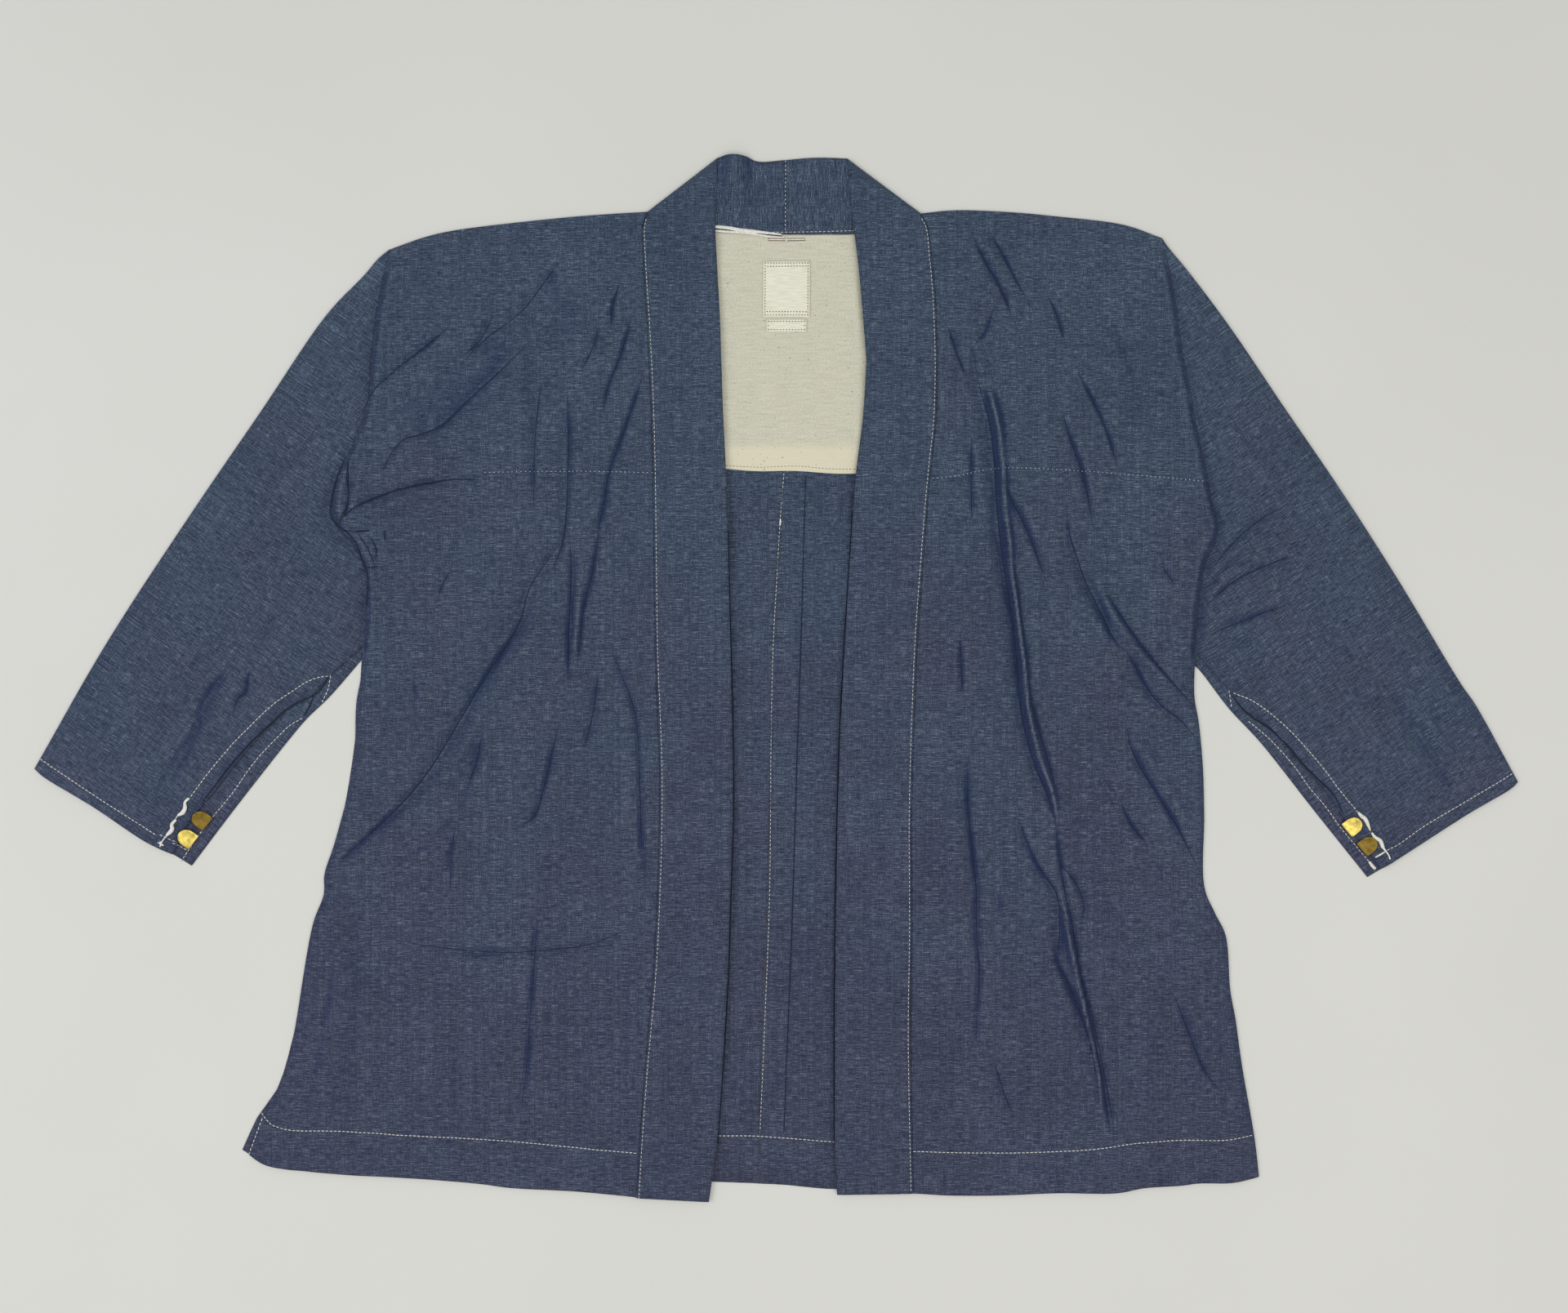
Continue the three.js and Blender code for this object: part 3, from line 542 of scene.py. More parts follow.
def fold_height(folds: Sequence[Fold], x: np.ndarray, y: np.ndarray) -> np.ndarray:
    """Add up the folds' heights.

    Args:
        folds: the ridges and creases.
        x, y: places on the cloth in mm.

    Returns:
        The height at each place in mm.
    """
    total = np.zeros_like(x)
    for f in folds:
        cells = FORM.cells * (len(f.path) - 1)
        line = curve(f.path, cells) if len(f.path) > 2 else resample(np.array(f.path, dtype=float), cells)
        low, high = line.min(axis=0) - FORM.reach * f.width, line.max(axis=0) + FORM.reach * f.width
        near = (x > low[0]) & (x < high[0]) & (y > low[1]) & (y < high[1])
        px, py = x[near], y[near]
        best, side, run = np.full(px.shape, FAR), np.ones(px.shape), np.zeros(px.shape)
        for i, (start, end) in enumerate(zip(line, line[1:])):
            dx, dy = end - start
            t = np.clip(((px - start[0]) * dx + (py - start[1]) * dy) / (dx * dx + dy * dy), 0, 1)
            away = np.hypot(px - start[0] - t * dx, py - start[1] - t * dy)
            closer = away < best
            best = np.where(closer, away, best)
            turn = (py - start[1]) * dx - (px - start[0]) * dy
            side = np.where(closer, np.where(turn > 0, 1 + f.skew, 1 - f.skew), side)
            run = np.where(closer, (i + t) / cells, run)
        length = np.linalg.norm(np.diff(line, axis=0), axis=1).sum()
        fade = min(FORM.fade_share, FORM.fade_length / length)
        ends = smoothstep(run / fade) * smoothstep((1 - run) / fade)
        ends *= FORM.beat_level + FORM.beat_share * np.sin(run * length / FORM.beat + f.path[0][0])
        total[near] += f.rise * cross_section(f, best / (f.width * side)) * ends
    return total


def cross_section(fold: Fold, away: np.ndarray) -> np.ndarray:
    """Read a fold's cross section.

    Args:
        fold: the ridge or crease.
        away: distances from its path, in its widths.

    Returns:
        The height at each distance, as a share of the fold's rise.
    """
    if fold.rise < 0 and fold.width < FORM.broad:
        return FORM.pinch_rise * np.exp(-FORM.pinch_fall * away)
    return FORM.round_rise * np.exp(-((FORM.round_fall * away) ** FORM.round_power))


def painted_fold_shading(layer: np.ndarray) -> np.ndarray:
    """Work out the painted shade and highlight of a layer: steep sides and hollows are painted dark, crests
    pale.

    Args:
        layer: rows by columns of points in mm.

    Returns:
        Rows by columns from -1, a crest painted pale, to 1, a deep hollow painted dark.
    """
    down = np.linalg.norm(np.gradient(layer[..., :2], axis=0), axis=2)
    across = np.linalg.norm(np.gradient(layer[..., :2], axis=1), axis=2)
    z = layer[..., 2]
    along_rows, along_columns = np.gradient(z, axis=0) / down, np.gradient(z, axis=1) / across
    slope = np.hypot(along_rows, along_columns)
    bend = np.gradient(along_rows, axis=0) / down + np.gradient(along_columns, axis=1) / across
    return np.clip(SLOPE_SHADE * slope**SLOPE_POWER + BEND_SHADE * bend, -1, 1)


class Waves:
    """Soft uneven waves of washed cloth, the same on every run."""

    def __init__(self, seed: int, count: int, shortest: float, longest: float) -> None:
        """Choose the waves' directions, lengths and phases.

        Args:
            seed: fixes every choice.
            count: how many waves are added up.
            shortest, longest: limits of their lengths in mm.
        """
        rng = np.random.default_rng(seed)
        angle = rng.uniform(0, math.pi, count)
        length = np.exp(rng.uniform(math.log(shortest), math.log(longest), count))
        self.k = 2 * math.pi / length
        self.dx, self.dy = np.cos(angle), np.sin(angle)
        self.phase = rng.uniform(0, 2 * math.pi, count)
        self.weight = (length / longest) / math.sqrt(count)

    def __call__(self, x: np.ndarray, y: np.ndarray) -> np.ndarray:
        """Add up the waves.

        Args:
            x, y: places on the cloth in mm.

        Returns:
            The height at each place, about -1 to 1.
        """
        out = np.zeros_like(x)
        for k, dx, dy, phase, weight in zip(self.k, self.dx, self.dy, self.phase, self.weight):
            out += weight * np.sin(k * (x * dx + y * dy) + phase)
        return out


BROAD_WAVES = Waves(seed=11, count=14, shortest=60, longest=170)
SMALL_WAVES = Waves(seed=23, count=22, shortest=16, longest=42)


class Ripple:
    """Small uneven puckers along a seam, the same on every run."""

    COUNT = 512

    def __init__(self, seed: int, pitch: float) -> None:
        """Fix the puckers' heights, one every pitch mm."""
        self.heights = np.random.default_rng(seed).uniform(-1, 1, self.COUNT)
        self.pitch = pitch

    def __call__(self, at: np.ndarray) -> np.ndarray:
        """Read the puckers.

        Args:
            at: distances along the seam in mm.

        Returns:
            The height at each distance, from -1 to 1.
        """
        t = at / self.pitch + self.COUNT / 2
        i = np.floor(t).astype(int)
        f = smoothstep(t - i)
        return self.heights[i % self.COUNT] * (1 - f) + self.heights[(i + 1) % self.COUNT] * f


SEAM_PUCKER = Ripple(seed=5, pitch=4.5)
HEM_PUCKER = Ripple(seed=9, pitch=8.0)


@dataclass(frozen=True)
class Drape:
    """How one half's top layer lies over the layer under it, in mm.

    A reach is the distance in which the cloth rises from an edge to its full height. The waves
    are broad or small, the allowances are pressed beside the armhole seam, and the groove is
    where its two cloths meet. The last five are shares of the sleeve's width, length and height.
    """

    half: Half
    loft: float = 2.3
    broad: float = 1.2
    small: float = 0.34
    edge_reach: float = 5.0
    edge_share: float = 0.35
    side_reach: float = 24.0
    side_share: float = 0.65
    shoulder_reach: float = 22.0
    hem_line: float = -362.0
    hem_reach: float = 26.0
    hem_share: float = 0.35
    pucker: float = 0.5
    pucker_reach: float = 5.0
    fold_line: float = 338.0
    fold_slant: float = 0.03
    fold_reach: float = 11.0
    fold_offset: float = 1.1
    roll_rise: float = 1.3
    roll_at: float = 5.5
    roll_width: float = 3.6
    roll_reach: float = 30.0
    groove_depth: float = 0.95
    groove_width: float = 2.4
    fold_share: float = 0.1
    slit_share: float = 0.07
    armhole_share: float = 0.05
    cuff_share: float = 0.08
    cuff_level: float = 0.3

    def front(self, x: np.ndarray, y: np.ndarray) -> np.ndarray:
        """Height of the front and the band above their flat level.

        Args:
            x, y: places on the jacket.

        Returns:
            The height at each place, 0 at the side, the shoulder and the armhole.
        """
        half = self.half
        border = np.vstack([curve(half.armhole, 90), curve(half.side, 90)])
        d = distance_to(border, x, y)
        sides = self.edge_share * smoothstep(d / self.edge_reach)
        sides += self.side_share * smoothstep(d / self.side_reach)
        shoulder = smoothstep((along_shoulder(half, x) - y) / self.shoulder_reach)
        hem = self.hem_share + self.side_share * smoothstep((y - self.hem_line) / self.hem_reach)
        seam = x - along(half.band, y, 1)
        pucker = self.pucker * SEAM_PUCKER(y) * hump(seam * half.out - 1, self.pucker_reach)
        band_hem = (y + self.fold_line - self.fold_slant * np.abs(x)) / self.fold_reach
        pucker += self.pucker * HEM_PUCKER(x) * np.exp(-((band_hem + self.fold_offset) ** 2))
        height = soft_floor(self.waved(half.front_folds, x, y))
        return height * sides * shoulder * hem + pucker * sides + self.seam_roll(x, y)

    def waved(self, folds: Sequence[Fold], x: np.ndarray, y: np.ndarray) -> np.ndarray:
        """Add the loft, the folds and both kinds of waves.

        Args:
            folds: the ridges and creases of this layer.
            x, y: places on the jacket.

        Returns:
            The height at each place, away from every edge.
        """
        height = self.loft + fold_height(folds, x, y)
        height += self.broad * BROAD_WAVES(x, y) + self.small * SMALL_WAVES(x, y)
        return height

    def seam_roll(self, x: np.ndarray, y: np.ndarray) -> np.ndarray:
        """Height of the allowances pressed under the body beside the armhole seam, and of the groove.

        Args:
            x, y: places on the jacket.

        Returns:
            What they add to the height at each place.
        """
        away = distance_to(curve(self.half.armhole, 240), x, y)
        below = smoothstep((along_shoulder(self.half, x) - y) / self.roll_reach)
        uneven = self.roll_rise + self.pucker * SEAM_PUCKER(y * 0.6)
        roll = uneven * hump(away - self.roll_at, self.roll_width)
        return roll * below - self.groove_depth * hump(away, self.groove_width) * below

    def sleeve(self, x: np.ndarray, y: np.ndarray, u: np.ndarray, v: np.ndarray) -> np.ndarray:
        """Height of the sleeve's top layer above its flat level.

        Args:
            x, y: places on the sleeve.
            u, v: the same from 0 to 1, across from the fold and down from the armhole.

        Returns:
            The height at each place, 0 at the fold and the slit.
        """
        at_fold = smoothstep(u / self.fold_share)
        across = at_fold * smoothstep((1 - u) / self.slit_share)
        cuff = self.cuff_level + (1 - self.cuff_level) * smoothstep((1 - v) / self.cuff_share)
        ends = smoothstep(v / self.armhole_share) * cuff
        away = distance_to(curve(self.half.armhole, 240), x, y)
        groove = self.groove_depth * hump(away, self.groove_width) * at_fold
        return soft_floor(self.waved(self.half.sleeve_folds, x, y)) * across * ends - groove


def hump(away: np.ndarray, width: float) -> np.ndarray:
    """Return a smooth hump's height from 0 to 1 at distances from its middle."""
    return np.exp(-((away / width) ** 2))


def soft_floor(height: np.ndarray) -> np.ndarray:
    """Keep a height above 0 with a soft landing."""
    return 0.5 * (height + np.sqrt(height * height + LANDING))


def along_shoulder(half: Half, x: np.ndarray) -> np.ndarray:
    """Height in y of the shoulder's fold at each x."""
    table = np.array(sorted(half.shoulder))
    return np.interp(x, table[:, 0], table[:, 1])


def fold_turn(
    edge: np.ndarray, below: np.ndarray, above: np.ndarray, low: float, high: float, wall: float
) -> np.ndarray:
    """Turn the cloth over a fold.

    Args:
        edge: the fold's outermost points, in mm.
        below, above: the next row of the lower and of the upper layer.
        low, high: heights of the middles of the two layers.
        wall: the cloth's thickness.

    Returns:
        Rows of points round the fold, from the lower layer to the upper.
    """
    radius = (high - low) / 2
    under = (below - edge) / np.linalg.norm(below - edge, axis=1)[:, None]
    over = (above - edge) / np.linalg.norm(above - edge, axis=1)[:, None]
    rows = []
    for t in np.linspace(0, 1, TURN_ROWS):
        turn = math.pi * (t - 0.5)
        reach = radius + wall / 2 - radius * math.cos(turn)
        place = edge + (under * (1 - t) + over * t) * reach
        height = np.full(len(edge), (low + high) / 2 + radius * math.sin(turn))
        rows.append(np.column_stack([place, height]))
    return np.stack(rows)


def as_layer(grid: np.ndarray, height: np.ndarray | float) -> np.ndarray:
    """Give a grid of (x, y) its heights."""
    return np.concatenate([grid, np.broadcast_to(height, grid.shape[:2])[..., None]], axis=2)


def cloth_mesh(
    name: str, middle: np.ndarray, wall: float, uv: np.ndarray, painted_shading: np.ndarray | None = None
) -> bpy.types.Object:
    """Make a sheet of cloth from the points of its middle.

    Args:
        name: the piece's name.
        middle: rows by columns of points in mm.
        wall: the cloth's thickness in mm.
        uv: rows by columns of places on the flat cloth in mm.
        painted_shading: rows by columns of painted shade and highlight, none if it has none.

    Returns:
        A closed mesh object with faces outwards, the UV map "cloth" in metres and the attribute
        "painted_shading" of painted shade and highlight.
    """
    rows, columns = middle.shape[:2]
    down = np.gradient(middle, axis=0)
    across = np.gradient(middle, axis=1)
    normal = np.cross(across, down)
    normal /= np.linalg.norm(normal, axis=2)[..., None]
    sides = (middle + normal * wall / 2, middle - normal * wall / 2)
    points = np.concatenate([side.reshape(-1, 3) for side in sides])
    k = (np.arange(rows - 1)[:, None] * columns + np.arange(columns - 1)[None]).ravel()
    layer = rows * columns
    top = np.stack([k, k + columns, k + columns + 1, k + 1], axis=1)
    bottom = np.stack([k, k + 1, k + columns + 1, k + columns], axis=1) + layer
    rim = np.concatenate([
        np.arange(columns - 1),
        np.arange(rows - 1) * columns + columns - 1,
        (rows - 1) * columns + np.arange(columns - 1, 0, -1),
        np.arange(rows - 1, 0, -1) * columns,
    ])
    following = np.roll(rim, -1)
    edge = np.stack([rim, following, following + layer, rim + layer], axis=1)
    faces = np.concatenate([top, bottom, edge])
    a, b, c = (points[faces[:, i]] for i in (0, 1, 2))
    if np.einsum("ij,ij->i", a, np.cross(b, c)).sum() < 0:
        faces = faces[:, ::-1]
    mesh = bpy.data.meshes.new(name)
    mesh.from_pydata((points * MM).tolist(), [], faces.tolist())
    flat = np.tile(uv.reshape(-1, 2), (2, 1)) * MM
    layer_uv = mesh.uv_layers.new(name="cloth")
    corners = np.empty(len(mesh.loops), dtype=np.int32)
    mesh.loops.foreach_get("vertex_index", corners)
    layer_uv.data.foreach_set("uv", flat[corners].ravel())
    shade = np.zeros(rows * columns) if painted_shading is None else painted_shading.ravel()
    # The attribute holds painted shade, dark in hollows and on steep sides, and painted highlight, pale on
    # crests.
    mesh.attributes.new("painted_shading", "FLOAT", "POINT").data.foreach_set("value", np.tile(shade, 2))
    return linked_mesh(name, mesh)


def linked(
    tree: bpy.types.NodeTree, kind: str, inputs: dict | None = None, **settings: object
) -> bpy.types.Node:
    """Add a node to a tree.

    Args:
        tree: the tree that it joins.
        kind: the node's type.
        inputs: socket name or number to a value, or to an output to link.
        settings: the node's own properties.

    Returns:
        The new node.
    """
    node = tree.nodes.new(kind)
    for key, value in settings.items():
        setattr(node, key, value)
    for key, value in (inputs or {}).items():
        if isinstance(value, bpy.types.NodeSocket):
            tree.links.new(value, node.inputs[key])
        else:
            node.inputs[key].default_value = value
    return node


def ramp(
    tree: bpy.types.NodeTree, factor: bpy.types.NodeSocket, stops: Sequence[tuple[float, str]]
) -> bpy.types.NodeSocket:
    """Turn a factor into colours.

    Args:
        tree: the material's tree.
        factor: what is read, from 0 to 1.
        stops: each colour's place and sRGB hex.

    Returns:
        The colour's output.
    """
    node = linked(tree, "ShaderNodeValToRGB", {"Fac": factor})
    elements = node.color_ramp.elements
    while len(elements) < len(stops):
        elements.new(0.5)
    for element, (place, code) in zip(elements, stops):
        element.position = place
        element.color = hex_linear(code)
    return node.outputs["Color"]


def math_node(tree: bpy.types.NodeTree, operation: str, *values: object) -> bpy.types.NodeSocket:
    """Join numbers or outputs by one operation and return the result."""
    return linked(tree, "ShaderNodeMath", dict(enumerate(values)), operation=operation).outputs[0]


def mixed(
    tree: bpy.types.NodeTree, factor: object, first: object, second: object, blend: str = "MIX"
) -> bpy.types.NodeSocket:
    """Mix two colours or colour outputs and return the result."""
    inputs = {0: factor, 6: first, 7: second}
    return linked(tree, "ShaderNodeMix", inputs, data_type="RGBA", blend_type=blend).outputs[2]


def object_places(tree: bpy.types.NodeTree) -> bpy.types.NodeSocket:
    """Return the places on the whole jacket in metres."""
    return linked(tree, "ShaderNodeTexCoord").outputs["Object"]


def share(
    tree: bpy.types.NodeTree, value: bpy.types.NodeSocket, given: tuple[float, float], most: float
) -> bpy.types.NodeSocket:
    """Turn a value into a share from 0 to most as it passes from the first given number to the second."""
    inputs = {"Value": value, "From Min": given[0], "From Max": given[1], "To Min": 0.0, "To Max": most}
    return linked(tree, "ShaderNodeMapRange", inputs, clamp=True).outputs[0]


def new_material(name: str) -> tuple[bpy.types.Material, bpy.types.NodeTree, bpy.types.Node]:
    """Make a material with one bare shader.

    Args:
        name: the material's name.

    Returns:
        The material, its tree and its shader node.
    """
    material = bpy.data.materials.new(name)
    material.use_nodes = True
    tree = material.node_tree
    tree.nodes.clear()
    shader = linked(tree, "ShaderNodeBsdfPrincipled")
    linked(tree, "ShaderNodeOutputMaterial", {"Surface": shader.outputs[0]})
    return material, tree, shader


def cloth_places(
    tree: bpy.types.NodeTree, across: float, along_grain: float, shift: float = 0.0
) -> bpy.types.NodeSocket:
    """Read the places on the flat cloth.

    Args:
        tree: the material's tree.
        across, along_grain: how many mm across and along the warp are one unit.
        shift: moves the pattern, so that no two are the same.

    Returns:
        The places' output.
    """
    uv = linked(tree, "ShaderNodeUVMap", uv_map="cloth").outputs[0]
    scale = (1 / (across * MM), 1 / (along_grain * MM), 1)
    placed = {"Vector": uv, "Scale": scale, "Location": (shift, shift, 0)}
    return linked(tree, "ShaderNodeMapping", placed).outputs[0]


def noise(
    tree: bpy.types.NodeTree, places: bpy.types.NodeSocket, detail: float = 2.0, rough: float = 0.5
) -> bpy.types.NodeSocket:
    """Return noise from 0 to 1 with features about one unit across."""
    inputs = {"Vector": places, "Scale": 1.0, "Detail": detail, "Roughness": rough}
    return linked(tree, "ShaderNodeTexNoise", inputs, noise_dimensions="2D").outputs[0]


@dataclass(frozen=True)
class Chambray:
    """Washed chambray: an indigo warp and a pale uneven weft in plain weave.

    The weft's slubs give short pale streaks across the cloth and the warp gives fine dark ones
    along it. Real threads are 0.45 mm apart, too fine to show, so streaks are drawn 0.5 mm thick.
    Painted shade darkens the cloth in the hollows of folds and on their steep sides, and a painted
    highlight makes their crests pale. It is a little greener towards the shoulders and redder towards
    the hem, and the sheen is that of soft cotton.

    Each layer of streaks has its size across and along the warp in mm, a shift, its noise's
    detail and its share.
    """

    name: str = "washed indigo chambray"
    deep: str = "#222b3e"
    dark: str = "#2f3749"
    mean: str = "#3b4357"
    pale: str = "#565e71"
    slub: str = "#7d828d"
    painted_hollow_shade: str = "#12244b"
    teal: str = "#e9ffff"
    violet: str = "#e8e1ec"
    roughness: float = 0.86
    specular: float = 0.28
    sheen: float = 0.08
    streaks: Table = (
        (5.5, 0.5, 0.0, 1, 0.37), (0.55, 5, 3.1, 1, 0.17), (0.75, 0.65, 7.7, 1, 0.34),
        (18, 0.6, 4.4, 1, 0.23), (0.7, 20, 5.5, 1, 0.09), (130, 2.0, 1.7, 1, 0.06),
        (2.2, 150, 6.2, 1, 0.065), (60, 80, 2.9, 2, 0.045),
    )

    def make(self) -> bpy.types.Material:
        """Build the cloth's material.

        Returns:
            The material.
        """
        material, tree, shader = new_material(self.name)
        thread: bpy.types.NodeSocket | float = 0.0
        for across, down, shift, detail, part in self.streaks:
            streak = noise(tree, cloth_places(tree, across, down, shift), detail, 0.6)
            thread = math_node(tree, "MULTIPLY_ADD", math_node(tree, "SUBTRACT", streak, 0.5), part, thread)
        thread = math_node(tree, "ADD", thread, 0.5)
        cloth = ramp(tree, thread, (
            (0.34, self.deep), (0.43, self.dark), (0.5, self.mean), (0.59, self.pale), (0.7, self.slub),
        ))
        tinted = mixed(tree, 1.0, cloth, self.tint(tree), "MULTIPLY")
        # Painted shade: the colour is mixed towards dark navy in the folds' hollows and on their steep sides;
        # painted highlight: towards the pale slub colour on their crests.
        painted_shading = linked(tree, "ShaderNodeAttribute", attribute_name="painted_shading").outputs["Fac"]
        fold = mixed(tree, share(tree, painted_shading, (0.06, 0.9), 0.8), tinted, hex_linear(self.painted_hollow_shade))
        crest = mixed(tree, share(tree, painted_shading, (-0.04, -0.5), 0.3), fold, hex_linear(self.slub))
        tree.links.new(crest, shader.inputs["Base Color"])
        shader.inputs["Roughness"].default_value = self.roughness
        shader.inputs["Specular IOR Level"].default_value = self.specular
        shader.inputs["Sheen Weight"].default_value = self.sheen
        shader.inputs["Sheen Roughness"].default_value = 0.5
        crumple = noise(tree, cloth_places(tree, 17, 21, 9.4), 4, 0.6)
        bump = linked(tree, "ShaderNodeBump", {"Strength": 0.55, "Distance": 0.9 * MM, "Height": crumple})
        threads = {"Strength": 0.5, "Distance": 0.16 * MM, "Height": thread, "Normal": bump.outputs[0]}
        tree.links.new(linked(tree, "ShaderNodeBump", threads).outputs[0], shader.inputs["Normal"])
        return material

    def tint(self, tree: bpy.types.NodeTree) -> bpy.types.NodeSocket:
        """Shade the cloth from the hem to the shoulders, with uneven patches.

        Args:
            tree: the material's tree.

        Returns:
            The tint's output.
        """
        split = linked(tree, "ShaderNodeSeparateXYZ", {0: object_places(tree)})
        limits = {"From Min": -0.31, "From Max": 0.3, "To Min": -0.38, "To Max": 0.4}
        rise = linked(tree, "ShaderNodeMapRange", {"Value": split.outputs["Y"], **limits})
        patch = noise(tree, cloth_places(tree, 70, 95, 5.2), 2, 0.6)
        both = math_node(tree, "ADD", patch, rise.outputs[0])
        return ramp(tree, both, ((0.1, self.violet), (0.9, self.teal)))


@dataclass(frozen=True)
class CreamCotton:
    """Unbleached cotton sheeting: a flat cream cloth with a few dark seed specks and fine slubs.

    It is doubled in the turned hem, which looks creamier.
    """

    name: str = "unbleached cotton sheeting"
    dark: str = "#b9b8a8"
    mean: str = "#cac7b3"
    pale: str = "#d6d3c1"
    warm: str = "#ddd6bb"
    speck: str = "#b0a890"
    clear: str = "#ffffff"
    hem_line: float = 0.168
    hem_blur: float = 0.006
    roughness: float = 0.88
    specular: float = 0.25

    def make(self) -> bpy.types.Material:
        """Build the cloth's material.

        Returns:
            The material.
        """
        material, tree, shader = new_material(self.name)
        weft = math_node(tree, "MULTIPLY", noise(tree, cloth_places(tree, 14, 1.2), 3, 0.6), 0.45)
        grain = math_node(tree, "MULTIPLY", noise(tree, cloth_places(tree, 1.3, 1.3, 4.1), 2, 0.7), 0.55)
        thread = math_node(tree, "ADD", weft, grain)
        cloth = ramp(tree, thread, ((0.32, self.dark), (0.5, self.mean), (0.7, self.pale)))
        height = linked(tree, "ShaderNodeSeparateXYZ", {0: object_places(tree)}).outputs["Y"]
        hem = share(tree, height, (self.hem_line, self.hem_line - self.hem_blur), 0.75)
        warmed = mixed(tree, hem, cloth, hex_linear(self.warm))
        specks = noise(tree, cloth_places(tree, 2.6, 1.2, 8.8), 0, 0.4)
        spotted = ramp(tree, specks, ((0.0, self.speck), (0.09, self.speck), (0.13, self.clear)))
        tree.links.new(mixed(tree, 1.0, warmed, spotted, "MULTIPLY"), shader.inputs["Base Color"])
        shader.inputs["Roughness"].default_value = self.roughness
        shader.inputs["Specular IOR Level"].default_value = self.specular
        crumple = noise(tree, cloth_places(tree, 20, 26, 2.4), 3, 0.55)
        bump = linked(tree, "ShaderNodeBump", {"Strength": 0.4, "Distance": 0.7 * MM, "Height": crumple})
        threads = {"Strength": 0.4, "Distance": 0.1 * MM, "Height": thread, "Normal": bump.outputs[0]}
        tree.links.new(linked(tree, "ShaderNodeBump", threads).outputs[0], shader.inputs["Normal"])
        return material


@dataclass(frozen=True)
class WovenTape:
    """Woven label tape: a close satin face with fine ribs across it."""

    name: str = "woven label tape"
    dark: str = "#d8d5c0"
    pale: str = "#eae7d6"
    roughness: float = 0.6
    sheen: float = 0.1

    def make(self) -> bpy.types.Material:
        """Build the tape's material.

        Returns:
            The material.
        """
        material, tree, shader = new_material(self.name)
        ribs = noise(tree, cloth_places(tree, 9, 0.9), 2, 0.6)
        tree.links.new(ramp(tree, ribs, ((0.3, self.dark), (0.7, self.pale))), shader.inputs["Base Color"])
        shader.inputs["Roughness"].default_value = self.roughness
        shader.inputs["Sheen Weight"].default_value = self.sheen
        bump = linked(tree, "ShaderNodeBump", {"Strength": 0.5, "Distance": 0.12 * MM, "Height": ribs})
        tree.links.new(bump.outputs[0], shader.inputs["Normal"])
        return material


@dataclass(frozen=True)
class Thread:
    """Spun cotton thread: matt, with plies that lighten and darken along it."""

    name: str
    pale: str
    dark: str
    roughness: float = 0.8
    sheen: float = 0.15
    plies_per_metre: float = 900.0

    def make(self) -> bpy.types.Material:
        """Build the thread's material.

        Returns:
            The material.
        """
        material, tree, shader = new_material(self.name)
        inputs = {"Vector": object_places(tree), "Scale": self.plies_per_metre, "Detail": 2.0}
        plies = linked(tree, "ShaderNodeTexNoise", inputs).outputs[0]
        tree.links.new(ramp(tree, plies, ((0.35, self.dark), (0.65, self.pale))), shader.inputs["Base Color"])
        shader.inputs["Roughness"].default_value = self.roughness
        shader.inputs["Sheen Weight"].default_value = self.sheen
        return material


@dataclass(frozen=True)
class RolledBrass:
    """Rolled brass sheet, tumbled smooth: a warm satin gloss that dulls as it tarnishes."""

    name: str
    pale: str
    dark: str
    roughness: float
    clouds_per_metre: float = 260.0
    marks_per_metre: float = 1800.0

    def make(self) -> bpy.types.Material:
        """Build the metal's material with cloudy tarnish and fine rolling marks.

        Returns:
            The material.
        """
        material, tree, shader = new_material(self.name)
        places = object_places(tree)
        inputs = {"Vector": places, "Scale": self.clouds_per_metre, "Detail": 3.0}
        cloud = linked(tree, "ShaderNodeTexNoise", inputs).outputs[0]
        tree.links.new(ramp(tree, cloud, ((0.3, self.dark), (0.6, self.pale))), shader.inputs["Base Color"])
        limits = {"To Min": self.roughness + 0.1, "To Max": self.roughness - 0.06}
        rough = linked(tree, "ShaderNodeMapRange", {"Value": cloud, **limits})
        tree.links.new(rough.outputs[0], shader.inputs["Roughness"])
        shader.inputs["Metallic"].default_value = 1.0
        inputs = {"Vector": places, "Scale": self.marks_per_metre, "Detail": 2.0}
        marks = linked(tree, "ShaderNodeTexNoise", inputs).outputs[0]
        bump = linked(tree, "ShaderNodeBump", {"Strength": 0.12, "Distance": 0.05 * MM, "Height": marks})
        tree.links.new(bump.outputs[0], shader.inputs["Normal"])
        return material


class Finishes:
    """Every finish on the jacket, made once."""

    def __init__(self) -> None:
        """Build the materials."""
        self.chambray = Chambray().make()
        # A very dark copy of the chambray, used only for cords of painted shadow and painted shade along
        # edges, seams and creases.
        self.edge = Chambray(
            "painted shadow chambray", "#12182a", "#171e33", "#1d253b", "#2b344a", "#3b455a",
        ).make()
        self.cotton = CreamCotton().make()
        self.tape = WovenTape().make()
        self.ecru = Thread("ecru cotton thread", "#e8e6dc", "#c3c1b8").make()
        self.cord = Thread("bleached cotton cord", "#eceae1", "#cfcdc4").make()
        self.tan = Thread("tan cotton thread", "#8b7a58", "#65573c").make()
        self.rust = Thread("rust cotton thread", "#7d6450", "#5a4536").make()
        # Lit and shaded copies of one brass: painted lighter and darker colours, the shaded one also rougher.
        self.bright = RolledBrass("rolled brass painted lit", "#d8c468", "#a8924a", 0.34).make()
        self.painted_shaded = RolledBrass("rolled brass painted in shade", "#816b33", "#655322", 0.45).make()


